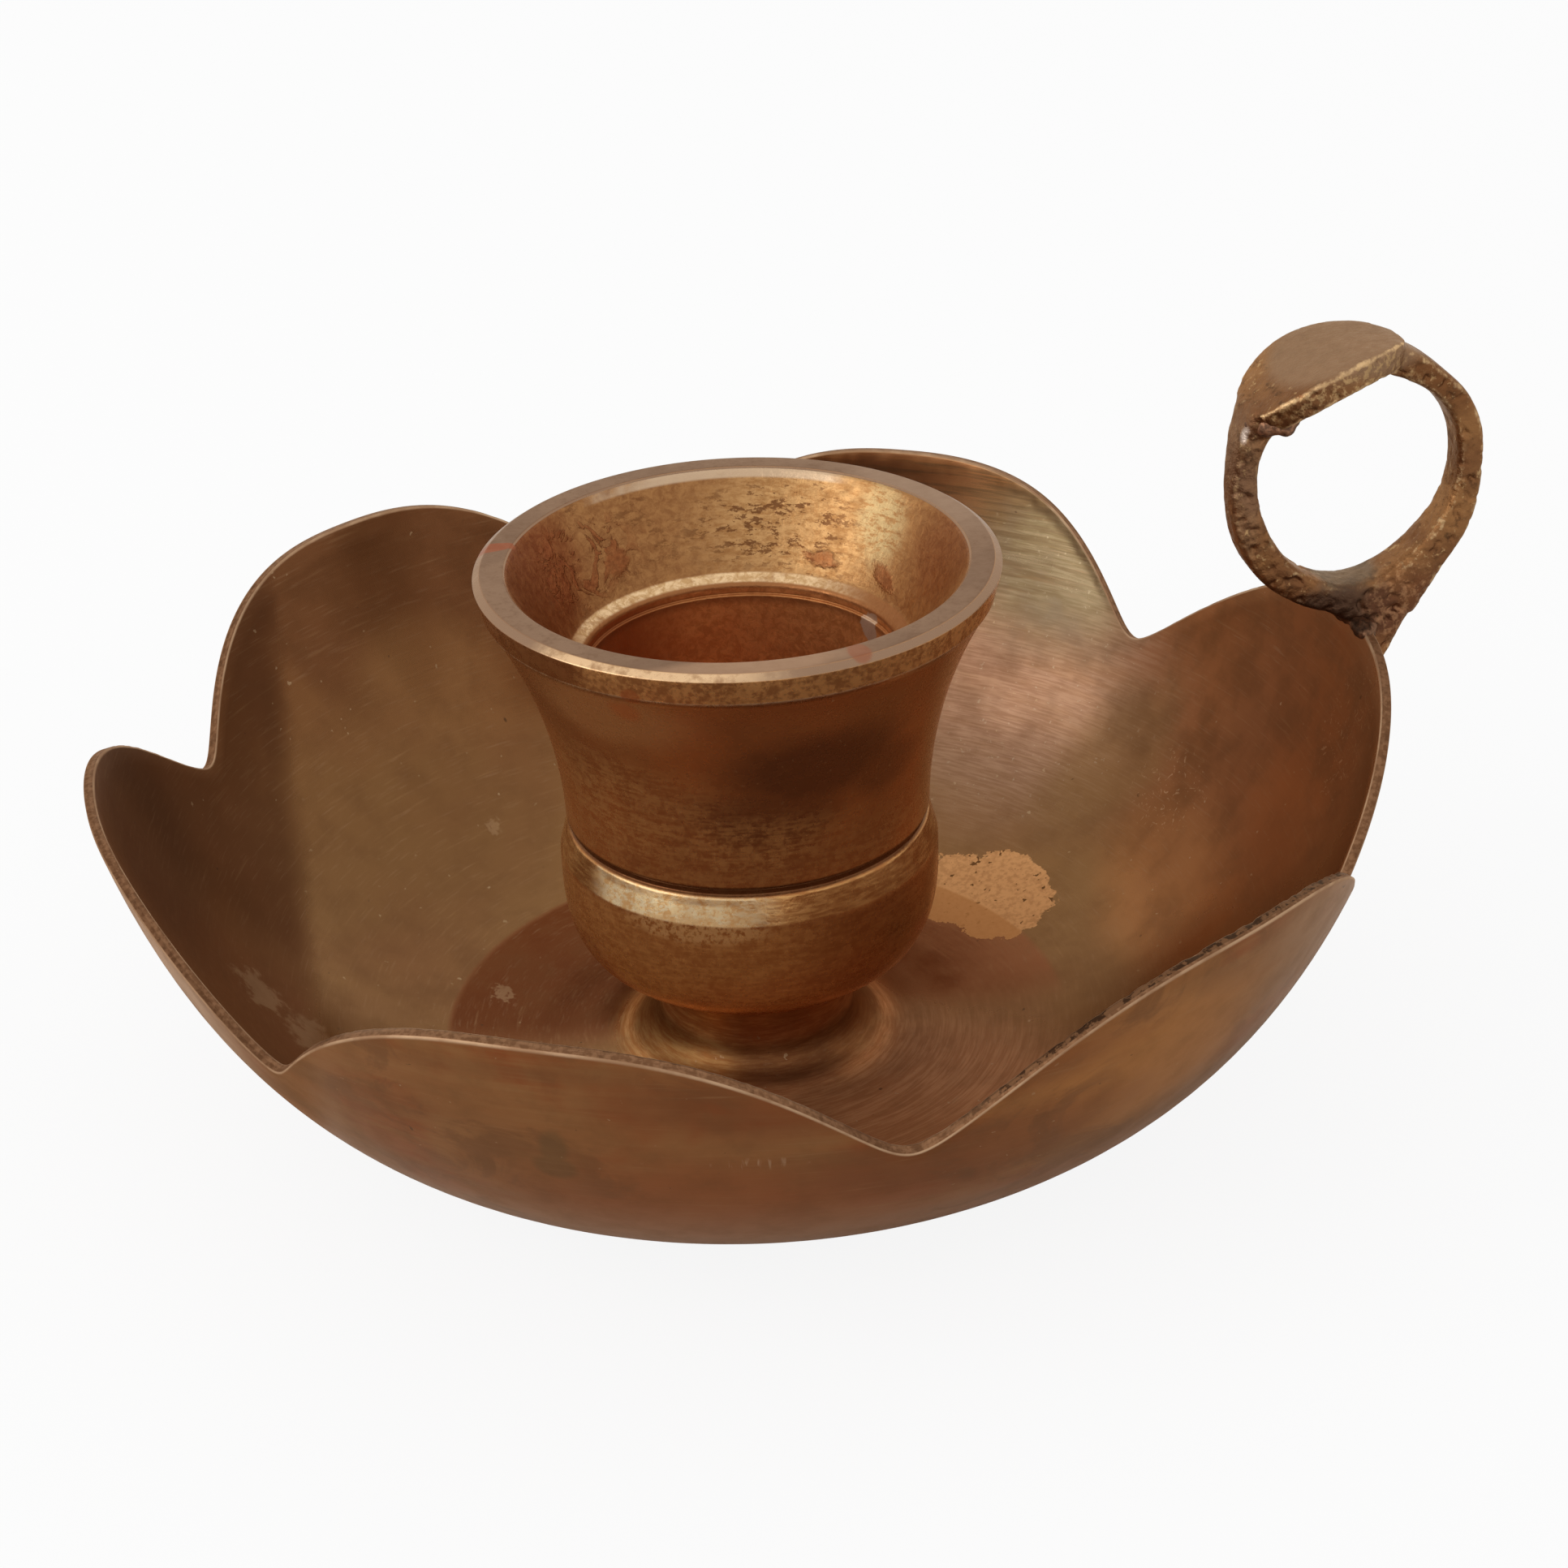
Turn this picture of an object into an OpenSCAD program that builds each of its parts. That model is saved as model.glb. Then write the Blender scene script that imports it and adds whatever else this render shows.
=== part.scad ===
// Chamber candle holder: a six-petalled brass drip pan, a turned candle cup screwed to the pan's
// pedestal from below, and a cast finger ring with a thumb plate, brazed to one petal.
// The origin lies on the cup's axis in the plane of the table. +Z is up and +X points to the ring.

/* [Pan] */
// Outer radius at the petal tips
pan_r = 48; // [42:0.5:60]
// Height of the petal tips above the table
pan_h = 29.2; // [24:0.2:34]
// Thickness of the pan's wall
wall_t = 1.3; // [0.9:0.1:1.8]
// Radius of the flat ring that stands on the table
foot_r = 16.5; // [14:0.5:20]
// Slope of the underside where it leaves the foot
foot_slope = 3.3; // [1:0.1:8]
// How far the low slope reaches into the side's curve
foot_reach = 14; // [8:0.5:18]
// Slope of the side at the petal tips
tip_slope = 75.8; // [68:0.2:84]
// How far the steep slope reaches down into the side's curve
tip_reach = 23.9; // [16:0.1:25]

/* [Petals] */
// Number of petals
petals = 6; // [5:1:8]
// Place of the notches along the side's curve, 1 being the tips
notch_t = 0.82; // [0.7:0.005:0.95]
// Roundness of a petal: 2 is a parabola, more is squarer
petal_round = 2.7; // [1.8:0.1:4]

/* [Pedestal] */
// Radius of the pedestal where the cup sits
ped_r = 7.2; // [6:0.1:7.6]
// Height of the cup's seat above the table
seat_z = 8; // [7:0.1:11]
// Width of the flare between the pedestal's side and the pan's floor
ped_flare = 6.3; // [3:0.1:8]
// Height of the flare above the floor
ped_flare_h = 4.2; // [2:0.1:5]

/* [Cup] */
// Height of the cup
cup_h = 32.7; // [29:0.1:40]
// Outer radius of the cup's lip
lip_r = 19; // [18:0.1:22]
// Width of the flat top of the lip
lip_w = 2.5; // [1.5:0.1:3]
// Height of the band under the lip
band_h = 2.4; // [2:0.1:5]
// How much the band narrows downwards
band_taper = 0.5; // [0.2:0.1:1]
// Depth of the step between the band and the flare
band_step = 0.1; // [0:0.05:0.3]
// Radius of the waist in the groove above the bead
waist_r = 13.5; // [13.1:0.1:14]
// Radius of the bead and the bowl below it
bead_r = 14.1; // [13.8:0.1:16]
// Height of the sloping top of the bead
bead_slope_h = 2.1; // [1:0.1:3]
// Height of the straight side of the bead
bead_side_h = 1.8; // [1:0.1:3]
// Height of the rounded bowl under the bead
bowl_h = 8.4; // [7.5:0.1:10]
// Radius of the flat under the bowl
bowl_flat_r = 8; // [7.7:0.1:9.5]

/* [Candle bore] */
// Radius of the bore that holds the candle
bore_r = 11.2; // [10:0.1:11.6]
// Depth of the tapered mouth below the lip
mouth_depth = 6.4; // [4:0.1:8]
// Radius of the mouth where it meets the ledge
ledge_r = 12.5; // [12:0.1:13]
// Height of the rounded ledge and the short step under it
ledge_h = 1.8; // [1:0.1:2.5]
// Thickness of the cup's bottom under the bore
bottom_t = 6; // [5.6:0.1:8]

/* [Fixing screw] */
// Nominal radius of the screw's thread
screw_r = 2; // [1.5:0.1:2.5]
// Radial clearance of the hole through the pedestal
screw_clear = 0.25; // [0.1:0.05:0.5]
// Radial play of the screw in the cup's threaded hole
thread_play = 0.05; // [0.02:0.01:0.1]
// Length of thread in the cup
thread_in = 4; // [3:0.1:4.4]
// Depth of the threaded hole beyond the screw's tip
thread_spare = 0.7; // [0.3:0.1:1]
// Radius of the screw's head
head_r = 3.5; // [3.2:0.1:4]
// Height of the screw's head
head_h = 2.2; // [1.8:0.1:2.4]
// Width of the slot in the head
slot_w = 1; // [0.6:0.1:1.2]
// Depth of the slot in the head
slot_depth = 1; // [0.6:0.1:1.2]
// Radius of the washer
washer_r = 4.5; // [4.2:0.1:5]
// Thickness of the washer
washer_t = 0.6; // [0.4:0.1:0.8]
// Clearance round the washer in the recess under the pan
recess_clear = 0.6; // [0.3:0.1:1]
// Clearance of the screw's head above the table
table_clear = 0.6; // [0.4:0.1:1]

/* [Finger ring] */
// Inner width of the finger ring
finger_w = 16.3; // [15:0.1:22]
// Inner height of the finger ring
finger_h = 17.6; // [16:0.1:24]
// Lean of the ring's opening, away from the cup
finger_lean = 10; // [0:1:20]
// Thickness of the ring's limbs, measured in the ring's plane
limb_t = 1.7; // [1.4:0.1:3]
// Width of the ring across its plane
limb_w = 3; // [2.4:0.1:5]
// Clear height between the petal's tip and the bottom of the ring's opening
root_h = 3; // [2:0.1:5]
// How far the ring's centre lies inside the petal's tip
ring_in = 0.8; // [0:0.1:3]

/* [Ring root] */
// Length of the tail down the outside of the petal
tail_l = 8; // [5:0.1:11]
// Thickness of the tail at the petal's rim
tail_t = 2.6; // [2:0.1:4]
// Width of the tail at its lower end
tail_w = 6.4; // [5:0.1:9]
// Thickness of the tail at its lower end
tail_end_t = 1; // [0.9:0.1:1.5]

/* [Thumb plate] */
// Length of the thumb plate along its slope
plate_l = 12.5; // [11:0.1:18]
// Width of the thumb plate across its middle
plate_w = 9.6; // [7:0.1:14]
// Width of the thumb plate at its ends
plate_end_w = 2.8; // [2.4:0.1:4]
// Thickness of the thumb plate
plate_t = 2.1; // [1.6:0.1:3]
// Slope of the thumb plate, rising outwards
plate_tilt = 22; // [15:0.5:28]
// Height of the thumb plate's arch over its length
plate_arch = 1.8; // [0.6:0.1:2.5]
// Height of the arch's crown above the opening's top, square to the plate
plate_rise = 1.7; // [1.4:0.1:4]

/* [Braze] */
// Thickness of the braze between the ring and the petal
braze_t = 0.2; // [0.15:0.05:0.4]
// Width of the braze that shows round the tail and inside the rim
braze_edge = 0.8; // [0.5:0.1:1.5]
// Height of the braze that shows, beyond the joint itself
braze_h = 0.6; // [0.4:0.1:0.6]
// Gap of the joint between the plate and the inner limb
joint_gap = 0.2; // [0.1:0.05:0.4]
// Radius of the lump of braze over that joint
lump_r = 1.6; // [1.4:0.1:2]
// How far the lump reaches past the limb on each side
lump_edge = 0.4; // [0.3:0.1:0.6]

/* [Hidden] */
$fn = 96;
CUT = 5;            // how far cutting shapes reach past what they cut
CURVE_STEPS = 16;   // straight pieces in the side of the pan
ROUND_STEPS = 10;   // straight pieces in the smaller curves
NOTCH_STEP = 2.5;   // degrees between the points of a petal's edge
OVAL_STEP = 6;      // degrees between the points of the ring's ovals
NOTCH_ROUND = 0.06; // rounding of the notches' bottoms, as a share of a petal's half width
FLARE_HOLLOW = 0.3; // how far the flare's curve stays from its corner, 1 being a straight cone
BOWL_OUT = 0.65;    // how far the bowl's curve keeps to its flat, as a share of the bowl's width
BOWL_UP = 0.3;      // where the bowl's curve turns upright, as a share of the bowl's height
LEDGE_SHARE = 0.7;  // share of the ledge's width that its rounded top takes
WEB_IN = 40;        // where the web leaves the ring on the inside, in degrees from its lowest point
WEB_OUT = 45;       // where the tail leaves the ring on the outside
MERGE = 0.4;        // how far the outer limb runs into the plate

petal_angle = 360 / petals;
foot_point = [foot_r, 0];
tip_point = [pan_r, pan_h];
foot_handle = foot_point + foot_reach * [cos(foot_slope), sin(foot_slope)];
tip_handle = tip_point - tip_reach * [cos(tip_slope), sin(tip_slope)];
tip_line = [cos(tip_slope), sin(tip_slope)];

recess_z = table_clear + head_h + washer_t;
recess_r = washer_r + recess_clear;
lip_z = seat_z + cup_h;
bead_z = seat_z + bowl_h;
waist_z = bead_z + bead_side_h + bead_slope_h;
band_z = lip_z - band_h;
band_r = lip_r - band_taper;
flare_r = band_r - band_step;
bore_z = seat_z + bottom_t;

finger = [finger_w / 2, finger_h / 2];
ring_out = finger + [limb_t, limb_t];
ring_x = pan_r - ring_in;
ring_z = pan_h + root_h + finger[1];
crown_z = finger[1] + plate_rise;
plate_bend = (pow(plate_l / 2, 2) + pow(plate_arch, 2)) / (2 * plate_arch);
bend_z = crown_z - plate_bend;
end_z = crown_z - plate_arch - plate_t;
// Where the plate's inner end meets the inner limb, as [outwards, up] from the ring's centre
joint = [-plate_l / 2 * cos(plate_tilt) - end_z * sin(plate_tilt),
         -plate_l / 2 * sin(plate_tilt) + end_z * cos(plate_tilt)];

// Point and direction at t on the curve through four control points
function curve(p, t) =
    pow(1 - t, 3) * p[0] + 3 * t * pow(1 - t, 2) * p[1] + 3 * t * t * (1 - t) * p[2] + pow(t, 3) * p[3];
function curve_way(p, t) =
    pow(1 - t, 2) * (p[1] - p[0]) + 2 * t * (1 - t) * (p[2] - p[1]) + t * t * (p[3] - p[2]);
function beside(p, t, d) =
    let(way = curve_way(p, t)) curve(p, t) + d * [-way[1], way[0]] / norm(way);

side = [foot_point, foot_handle, tip_handle, tip_point];

// The side's curve at a distance d inside the outer surface, with a straight stretch past the tips
function side_points(d) = concat(
    [for (i = [0:CURVE_STEPS]) beside(side, i / CURVE_STEPS, d)],
    [beside(side, 1, d) + CUT * tip_line]);

// Reversed list
function backwards(list) = [for (i = [len(list) - 1:-1:0]) list[i]];

// The petals' edge seen along a notch: a from -1 to 1 runs from one petal's tip to the next
function edge_reach(a) = sqrt(a * a + NOTCH_ROUND * NOTCH_ROUND) - NOTCH_ROUND;
function edge_share(a) = edge_reach(a) / edge_reach(1);
function edge_t(a) = notch_t + (1 - notch_t) * (1 - pow(1 - edge_share(a), petal_round));
function edge_point(a) =
    let(p = curve(side, edge_t(a))) [p[0] * sin(a * petal_angle / 2), p[1]];

// Shell of the pan's side between two distances inside its outer surface
module side_shell(outer, inner) {
    rotate_extrude()
        polygon(concat(side_points(outer), backwards(side_points(inner))));
}

module pan_blank() {
    flare = [[ped_r + ped_flare, wall_t], [ped_r + ped_flare * FLARE_HOLLOW, wall_t],
             [ped_r, wall_t + ped_flare_h * FLARE_HOLLOW], [ped_r, wall_t + ped_flare_h]];
    rotate_extrude()
        polygon(concat(
            [[0, 0]],
            side_points(0),
            backwards(side_points(wall_t)),
            [for (i = [0:ROUND_STEPS]) curve(flare, i / ROUND_STEPS)],
            [[ped_r, seat_z], [0, seat_z]]));
}

// Everything above the petals' edge on both sides of one notch
module notch_cutter() {
    half = petal_angle / 2;
    wide = pan_r * sin(half) + CUT;
    steps = [for (a = [-half:NOTCH_STEP:half]) edge_point(a / half)];
    translate([pan_r * cos(half) / 2, 0, 0])
        rotate([90, 0, 90])
            linear_extrude(height = pan_r)
                polygon(concat(
                    [[-wide, pan_h]],
                    steps,
                    [[wide, pan_h], [wide, pan_h + 2 * CUT], [-wide, pan_h + 2 * CUT]]));
}

module drip_pan() {
    color("peru")
        difference() {
            pan_blank();
            for (i = [0:petals - 1])
                rotate(petal_angle * (i + 0.5))
                    notch_cutter();
            translate([0, 0, -CUT])
                cylinder(r = recess_r, h = recess_z + CUT);
            cylinder(r = screw_r + screw_clear, h = seat_z + CUT);
        }
}

module candle_cup() {
    bowl = [[bowl_flat_r, seat_z], [bowl_flat_r + (bead_r - bowl_flat_r) * BOWL_OUT, seat_z],
            [bead_r, seat_z + bowl_h * BOWL_UP], [bead_r, bead_z]];
    flare_h = band_z - waist_z;
    flare_in = flare_r - waist_r;
    flare_arc_r = (flare_h * flare_h + flare_in * flare_in) / (2 * flare_in);
    flare_angle = asin(flare_h / flare_arc_r);
    ledge_z = lip_z - mouth_depth;
    shelf_r = ledge_r - (ledge_r - bore_r) * LEDGE_SHARE;
    color("sandybrown")
        difference() {
            rotate_extrude()
                polygon(concat(
                    [[0, seat_z]],
                    [for (i = [0:ROUND_STEPS]) curve(bowl, i / ROUND_STEPS)],
                    [[bead_r, bead_z + bead_side_h]],
                    [for (i = [0:ROUND_STEPS])
                        let(a = flare_angle * i / ROUND_STEPS)
                        [waist_r + flare_arc_r * (1 - cos(a)), waist_z + flare_arc_r * sin(a)]],
                    [[band_r, band_z], [lip_r, lip_z], [lip_r - lip_w, lip_z], [ledge_r, ledge_z],
                     [(ledge_r + shelf_r) / 2, ledge_z - ledge_h / 4],
                     [shelf_r, ledge_z - ledge_h / 2],
                     [shelf_r, ledge_z - ledge_h],
                     [0, ledge_z - ledge_h]]));
            translate([0, 0, bore_z])
                cylinder(r = bore_r, h = cup_h);
            translate([0, 0, seat_z - CUT])
                cylinder(r = screw_r + thread_play, h = CUT + thread_in + thread_spare);
        }
}

module cup_screw() {
    head_top = recess_z - washer_t;
    color("goldenrod")
        difference() {
            union() {
                translate([0, 0, head_top - head_h])
                    cylinder(r = head_r, h = head_h);
                translate([0, 0, head_top - head_h / 2])
                    cylinder(r = screw_r, h = seat_z + thread_in - head_top + head_h / 2);
            }
            translate([-head_r - CUT, -slot_w / 2, head_top - head_h - CUT])
                cube([2 * (head_r + CUT), slot_w, slot_depth + CUT]);
        }
}

module screw_washer() {
    color("darkkhaki")
        translate([0, 0, recess_z - washer_t])
            difference() {
                cylinder(r = washer_r, h = washer_t);
                translate([0, 0, -CUT])
                    cylinder(r = screw_r + screw_clear, h = washer_t + 2 * CUT);
            }
}

// A flat outline in the ring's own plane, given as [outwards, up] from the ring's centre,
// made into a slab of width w across that plane
module in_ring_plane(w) {
    translate([ring_x, w / 2, ring_z])
        rotate([90, 0, 0])
            linear_extrude(height = w)
                children();
}

module oval(half) {
    polygon([for (a = [0:OVAL_STEP:360 - OVAL_STEP]) [half[0] * cos(a), half[1] * sin(a)]]);
}

module plate_outline() {
    intersection() {
        translate([0, bend_z])
            difference() {
                circle(r = plate_bend);
                circle(r = plate_bend - plate_t);
            }
        translate([-plate_l / 2, 0])
            square([plate_l, crown_z + CUT]);
    }
}

// The thumb plate's leaf shape, seen square to the plate
module leaf_outline() {
    bulge = (plate_w - plate_end_w) / 2;
    leaf_r = (pow(plate_l / 2, 2) + bulge * bulge) / (2 * bulge);
    intersection() {
        translate([0, leaf_r - plate_w / 2])
            circle(r = leaf_r);
        translate([0, plate_w / 2 - leaf_r])
            circle(r = leaf_r);
    }
}

module thumb_plate() {
    intersection() {
        in_ring_plane(plate_w + CUT)
            rotate(plate_tilt)
                plate_outline();
        translate([ring_x, 0, ring_z])
            rotate([0, -plate_tilt, 0])
                linear_extrude(height = crown_z + CUT)
                    leaf_outline();
    }
}

// Outline of the limbs: an oval ring that stops under the plate, with the web and tail at its root
module limbs_outline() {
    rim_x = pan_r - ring_x;
    rim_z = pan_h - ring_z;
    tail_x = rim_x - tail_l * cos(tip_slope);
    difference() {
        union() {
            oval(ring_out);
            polygon([
                [-ring_out[0] * sin(WEB_IN), -ring_out[1] * cos(WEB_IN)],
                [rim_x - wall_t, rim_z],
                [tail_x - wall_t, rim_z - tail_l],
                [tail_x + tail_end_t, rim_z - tail_l],
                [rim_x + tail_t, rim_z],
                [ring_out[0] * sin(WEB_OUT), -ring_out[1] * cos(WEB_OUT)],
                [0, 0]]);
            polygon([
                [-ring_out[0], 0], joint + [-limb_t / 2, plate_t],
                joint + [limb_t / 2, plate_t], [-finger[0], 0]]);
        }
        rotate(-finger_lean)
            oval(finger);
        rotate(plate_tilt)
            difference() {
                translate([-plate_l / 2 - CUT, end_z - joint_gap])
                    square([plate_l + CUT - MERGE, crown_z]);
                translate([0, bend_z])
                    circle(r = plate_bend - plate_t - joint_gap);
            }
    }
}

// Front view of the limbs: even above the ring's centre, widening down to the tail's end
module limbs_width() {
    tail_z = pan_h - tail_l;
    top_z = ring_z + ring_out[1] + CUT;
    rotate([90, 0, 90])
        linear_extrude(height = ring_x + ring_out[0] + CUT)
            polygon([
                [-tail_w / 2, tail_z], [tail_w / 2, tail_z],
                [limb_w / 2, ring_z], [limb_w / 2, top_z],
                [-limb_w / 2, top_z], [-limb_w / 2, ring_z]]);
}

// The pan's side, with room for the braze outside it and above its rim
module petal_room() {
    intersection() {
        side_shell(-braze_t, wall_t + CUT);
        cylinder(r = pan_r + CUT, h = pan_h + braze_t);
    }
}

module ring_casting() {
    thumb_plate();
    difference() {
        intersection() {
            in_ring_plane(tail_w + CUT)
                limbs_outline();
            limbs_width();
        }
        petal_room();
    }
}

module ring_handle() {
    color("darkgoldenrod")
        ring_casting();
}

// Braze between the tail and the petal: a film that caps the rim and shows as an edge round the tail
module rim_braze() {
    wide = tail_w + 2 * braze_edge;
    low = pan_h - tail_l - braze_edge;
    color("saddlebrown")
        difference() {
            intersection() {
                side_shell(-braze_t - braze_h, wall_t + braze_h);
                translate([0, -wide / 2, low])
                    cube([pan_r + CUT, wide, pan_h + braze_h - low]);
            }
            intersection() {
                side_shell(0, wall_t);
                cylinder(r = pan_r + CUT, h = pan_h);
            }
            intersection() {
                side_shell(wall_t / 2, wall_t + CUT);
                cylinder(r = pan_r, h = pan_h - braze_edge);
            }
            ring_casting();
        }
}

// Lump of braze that closes the ring where the inner limb meets the thumb plate
module ring_braze() {
    color("saddlebrown")
        difference() {
            translate([ring_x + joint[0], limb_w / 2 + lump_edge, ring_z + joint[1]])
                rotate([90, 0, 0])
                    cylinder(r = lump_r, h = limb_w + 2 * lump_edge);
            ring_casting();
        }
}

drip_pan();
candle_cup();
cup_screw();
screw_washer();
ring_handle();
rim_braze();
ring_braze();
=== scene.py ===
"""Chamber candle holder in aged brass: a six-petalled drip pan, a turned candle cup and a cast finger ring.

Sizes are in metres in the part's own frame: the origin is on the cup's axis in the plane of the table,
+Z is up and +X points to the finger ring.
"""

import math

import bmesh
import bpy
from mathutils import Matrix, Vector, geometry, noise


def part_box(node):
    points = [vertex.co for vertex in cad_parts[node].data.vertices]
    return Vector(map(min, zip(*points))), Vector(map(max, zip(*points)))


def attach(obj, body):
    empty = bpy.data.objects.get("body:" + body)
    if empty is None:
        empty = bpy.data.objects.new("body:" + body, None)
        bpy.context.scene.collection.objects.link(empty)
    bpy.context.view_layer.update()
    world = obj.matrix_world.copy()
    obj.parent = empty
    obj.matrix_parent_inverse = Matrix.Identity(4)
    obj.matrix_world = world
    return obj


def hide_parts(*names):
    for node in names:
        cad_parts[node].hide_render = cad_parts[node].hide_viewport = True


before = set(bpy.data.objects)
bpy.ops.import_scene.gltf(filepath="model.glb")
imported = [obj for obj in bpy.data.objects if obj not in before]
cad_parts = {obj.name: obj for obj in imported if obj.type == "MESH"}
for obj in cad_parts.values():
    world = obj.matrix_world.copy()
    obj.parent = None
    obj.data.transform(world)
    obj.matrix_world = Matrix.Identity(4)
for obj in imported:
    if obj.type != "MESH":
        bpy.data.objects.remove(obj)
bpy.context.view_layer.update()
MM = 0.001

# Sizes taken from the frame

PAN_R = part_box("drip_pan")[1].x
PAN_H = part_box("drip_pan")[1].z
SEAT_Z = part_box("candle_cup")[0].z
LIP_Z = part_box("candle_cup")[1].z
LIP_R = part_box("candle_cup")[1].x
SCREW_LOW, SCREW_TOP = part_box("cup_screw")
WASHER_LOW, WASHER_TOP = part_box("screw_washer")

# Pan: outline of its side, edge of its petals, pedestal and recess

PETALS = 6
WALL = 1.3 * MM
FOOT_R = 16.5 * MM
FOOT_SLOPE, FOOT_REACH = math.radians(3.3), 14 * MM
TIP_SLOPE, TIP_REACH = math.radians(75.8), 23.9 * MM
NOTCH_SHARE = 0.82
NOTCH_ROUND = 0.085
PETAL_ROUND = 2.7
ARRIS = 0.1 * MM
RIM_THIN, THIN_FROM = 0.36, 0.72
SAW_CUT, SAW_PITCH = 0.16 * MM, 0.75 * MM
PED_R = 7.2 * MM
PED_FLARE, PED_FLARE_H, FLARE_HOLLOW = 6.3 * MM, 4.2 * MM, 0.3
RECESS_R, RECESS_Z = 5.1 * MM, 3.4 * MM
SCREW_HOLE_R = 2.25 * MM
PAN_STEPS = 960
SECTORS = 12
MERGE = 1e-6
SIDE_STEPS = 36
# Where the hand-cut edge leaves an even petal: degrees round the axis, half width, millimetres up the side
EDGE_WANDER = ((19, 9, -0.9), (180, 20, -0.6), (150, 4, 0.5), (-31, 5, -0.25), (42, 8, 0.5))

# Cup: heights and radii of its turned outline

CUP_STEPS = 360
LIP_W = 2.5 * MM
BAND_H, BAND_TAPER, BAND_STEP = 2.4 * MM, 0.5 * MM, 0.1 * MM
WAIST_R, BEAD_R = 13.5 * MM, 14.1 * MM
BEAD_SLOPE_H, BEAD_SIDE_H = 2.1 * MM, 1.8 * MM
BOWL_H, BOWL_FLAT_R, BOWL_EDGE_R = 8.4 * MM, 7.6 * MM, 9.7 * MM
COVE_H, COVE_IN = 0.75 * MM, 0.3 * MM
BORE_R, BORE_Z = 11.2 * MM, SEAT_Z + 6 * MM
MOUTH_DEPTH, LEDGE_R, LEDGE_H, LEDGE_SHARE = 6.9 * MM, 12.5 * MM, 1.3 * MM, 0.8
LIP_BEVEL, MOUTH_BEVEL = 0.6 * MM, 0.3 * MM
THREAD_R, THREAD_TOP = 2.05 * MM, SEAT_Z + 4.7 * MM

# Fixing screw and its washer

HEAD_R, HEAD_H, SHANK_R = SCREW_TOP.x, 2.2 * MM, 2 * MM
SLOT_W, SLOT_DEPTH = 1 * MM, 1 * MM
WASHER_R, WASHER_HOLE_R = WASHER_TOP.x, 2.25 * MM

# Finger ring, as [outwards, up] from its centre in the XZ plane

ROOT_H, RING_IN = 3 * MM, 0.8 * MM
FINGER = Vector((8.15, 8.8)) * MM
FINGER_LEAN = math.radians(10)
LIMB_T, LIMB_W = 1.7 * MM, 3 * MM
RING_AT = Vector((PAN_R - RING_IN, PAN_H + ROOT_H + FINGER.y))
RIM_DOWN = PAN_H - RING_AT.y
TAIL_L, TAIL_TOP, TAIL_W, TAIL_END_T = 8 * MM, 4.75 * MM, 6.4 * MM, 1 * MM
PLATE_L, PLATE_W, PLATE_END_W, PLATE_T = 12.5 * MM, 9.6 * MM, 2.8 * MM, 2.1 * MM
PLATE_TILT, PLATE_ARCH, PLATE_RISE = math.radians(22), 1.8 * MM, 1.6 * MM
PLATE_BLUNT = 1.05 * MM
BRAZE_T, BRAZE_EDGE = 0.2 * MM, 0.8 * MM
CAST_VOXEL = 0.14 * MM

# Photo's camera, as azimuth and elevation from the object to the lens, and the roll of the frame

CAMERA_AT = Vector((-47.78, -217.60, 142.52)) * MM
CAMERA_AZIMUTH, CAMERA_ELEVATION, CAMERA_ROLL = -103.088, 28.378, -2.276
CAMERA_LENS, CAMERA_SENSOR = 78.39, 36


def make_camera():
    azimuth, elevation, roll = (math.radians(a) for a in (CAMERA_AZIMUTH, CAMERA_ELEVATION, CAMERA_ROLL))
    back = Vector((math.cos(azimuth) * math.cos(elevation), math.sin(azimuth) * math.cos(elevation), math.sin(elevation)))
    level = Vector((0, 0, 1)).cross(back).normalized()
    upright = back.cross(level)
    right = math.cos(roll) * level + math.sin(roll) * upright
    up = math.cos(roll) * upright - math.sin(roll) * level
    lens = bpy.data.cameras.new("camera")
    lens.lens, lens.sensor_width = CAMERA_LENS, CAMERA_SENSOR
    lens.clip_start, lens.clip_end = 0.01, 10
    camera = bpy.data.objects.new("camera", lens)
    camera.matrix_world = Matrix.Translation(CAMERA_AT) @ Matrix((right, up, back)).transposed().to_4x4()
    bpy.context.scene.collection.objects.link(camera)
    bpy.context.scene.camera = camera


# Curves and outlines


def curve(points, share):
    """Point and direction at a share of the curve through four control points."""
    a, b, c, d = points
    rest = 1 - share
    point = rest**3 * a + 3 * rest * rest * share * b + 3 * rest * share * share * c + share**3 * d
    way = rest * rest * (b - a) + 2 * rest * share * (c - b) + share * share * (d - c)
    return point, way


def slope_way(angle):
    return Vector((math.cos(angle), math.sin(angle)))


FOOT_POINT, TIP_POINT = Vector((FOOT_R, 0)), Vector((PAN_R, PAN_H))
SIDE = (
    FOOT_POINT,
    FOOT_POINT + FOOT_REACH * slope_way(FOOT_SLOPE),
    TIP_POINT - TIP_REACH * slope_way(TIP_SLOPE),
    TIP_POINT,
)


def side_point(share, depth):
    """Radius and height on the pan's side, depth metres inside its outer surface."""
    point, way = curve(SIDE, share)
    return point + depth * Vector((-way.y, way.x)).normalized()


def petal_edge(angle):
    """Share of the side's curve at which the pan ends, at an angle round the axis."""
    across = math.degrees(angle) / (360 / PETALS) - 0.5
    from_notch = abs(across - round(across)) * 2
    reach = math.hypot(from_notch, NOTCH_ROUND) - NOTCH_ROUND
    reach /= math.hypot(1, NOTCH_ROUND) - NOTCH_ROUND
    share = NOTCH_SHARE + (1 - NOTCH_SHARE) * (1 - (1 - min(reach, 1)) ** PETAL_ROUND)
    for centre, half, rise in EDGE_WANDER:
        off = (math.degrees(angle) - centre + 180) % 360 - 180
        share += math.exp(-((off / half) ** 2)) * rise * MM / (3 * TIP_REACH)
    return min(share, 1)


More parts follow.
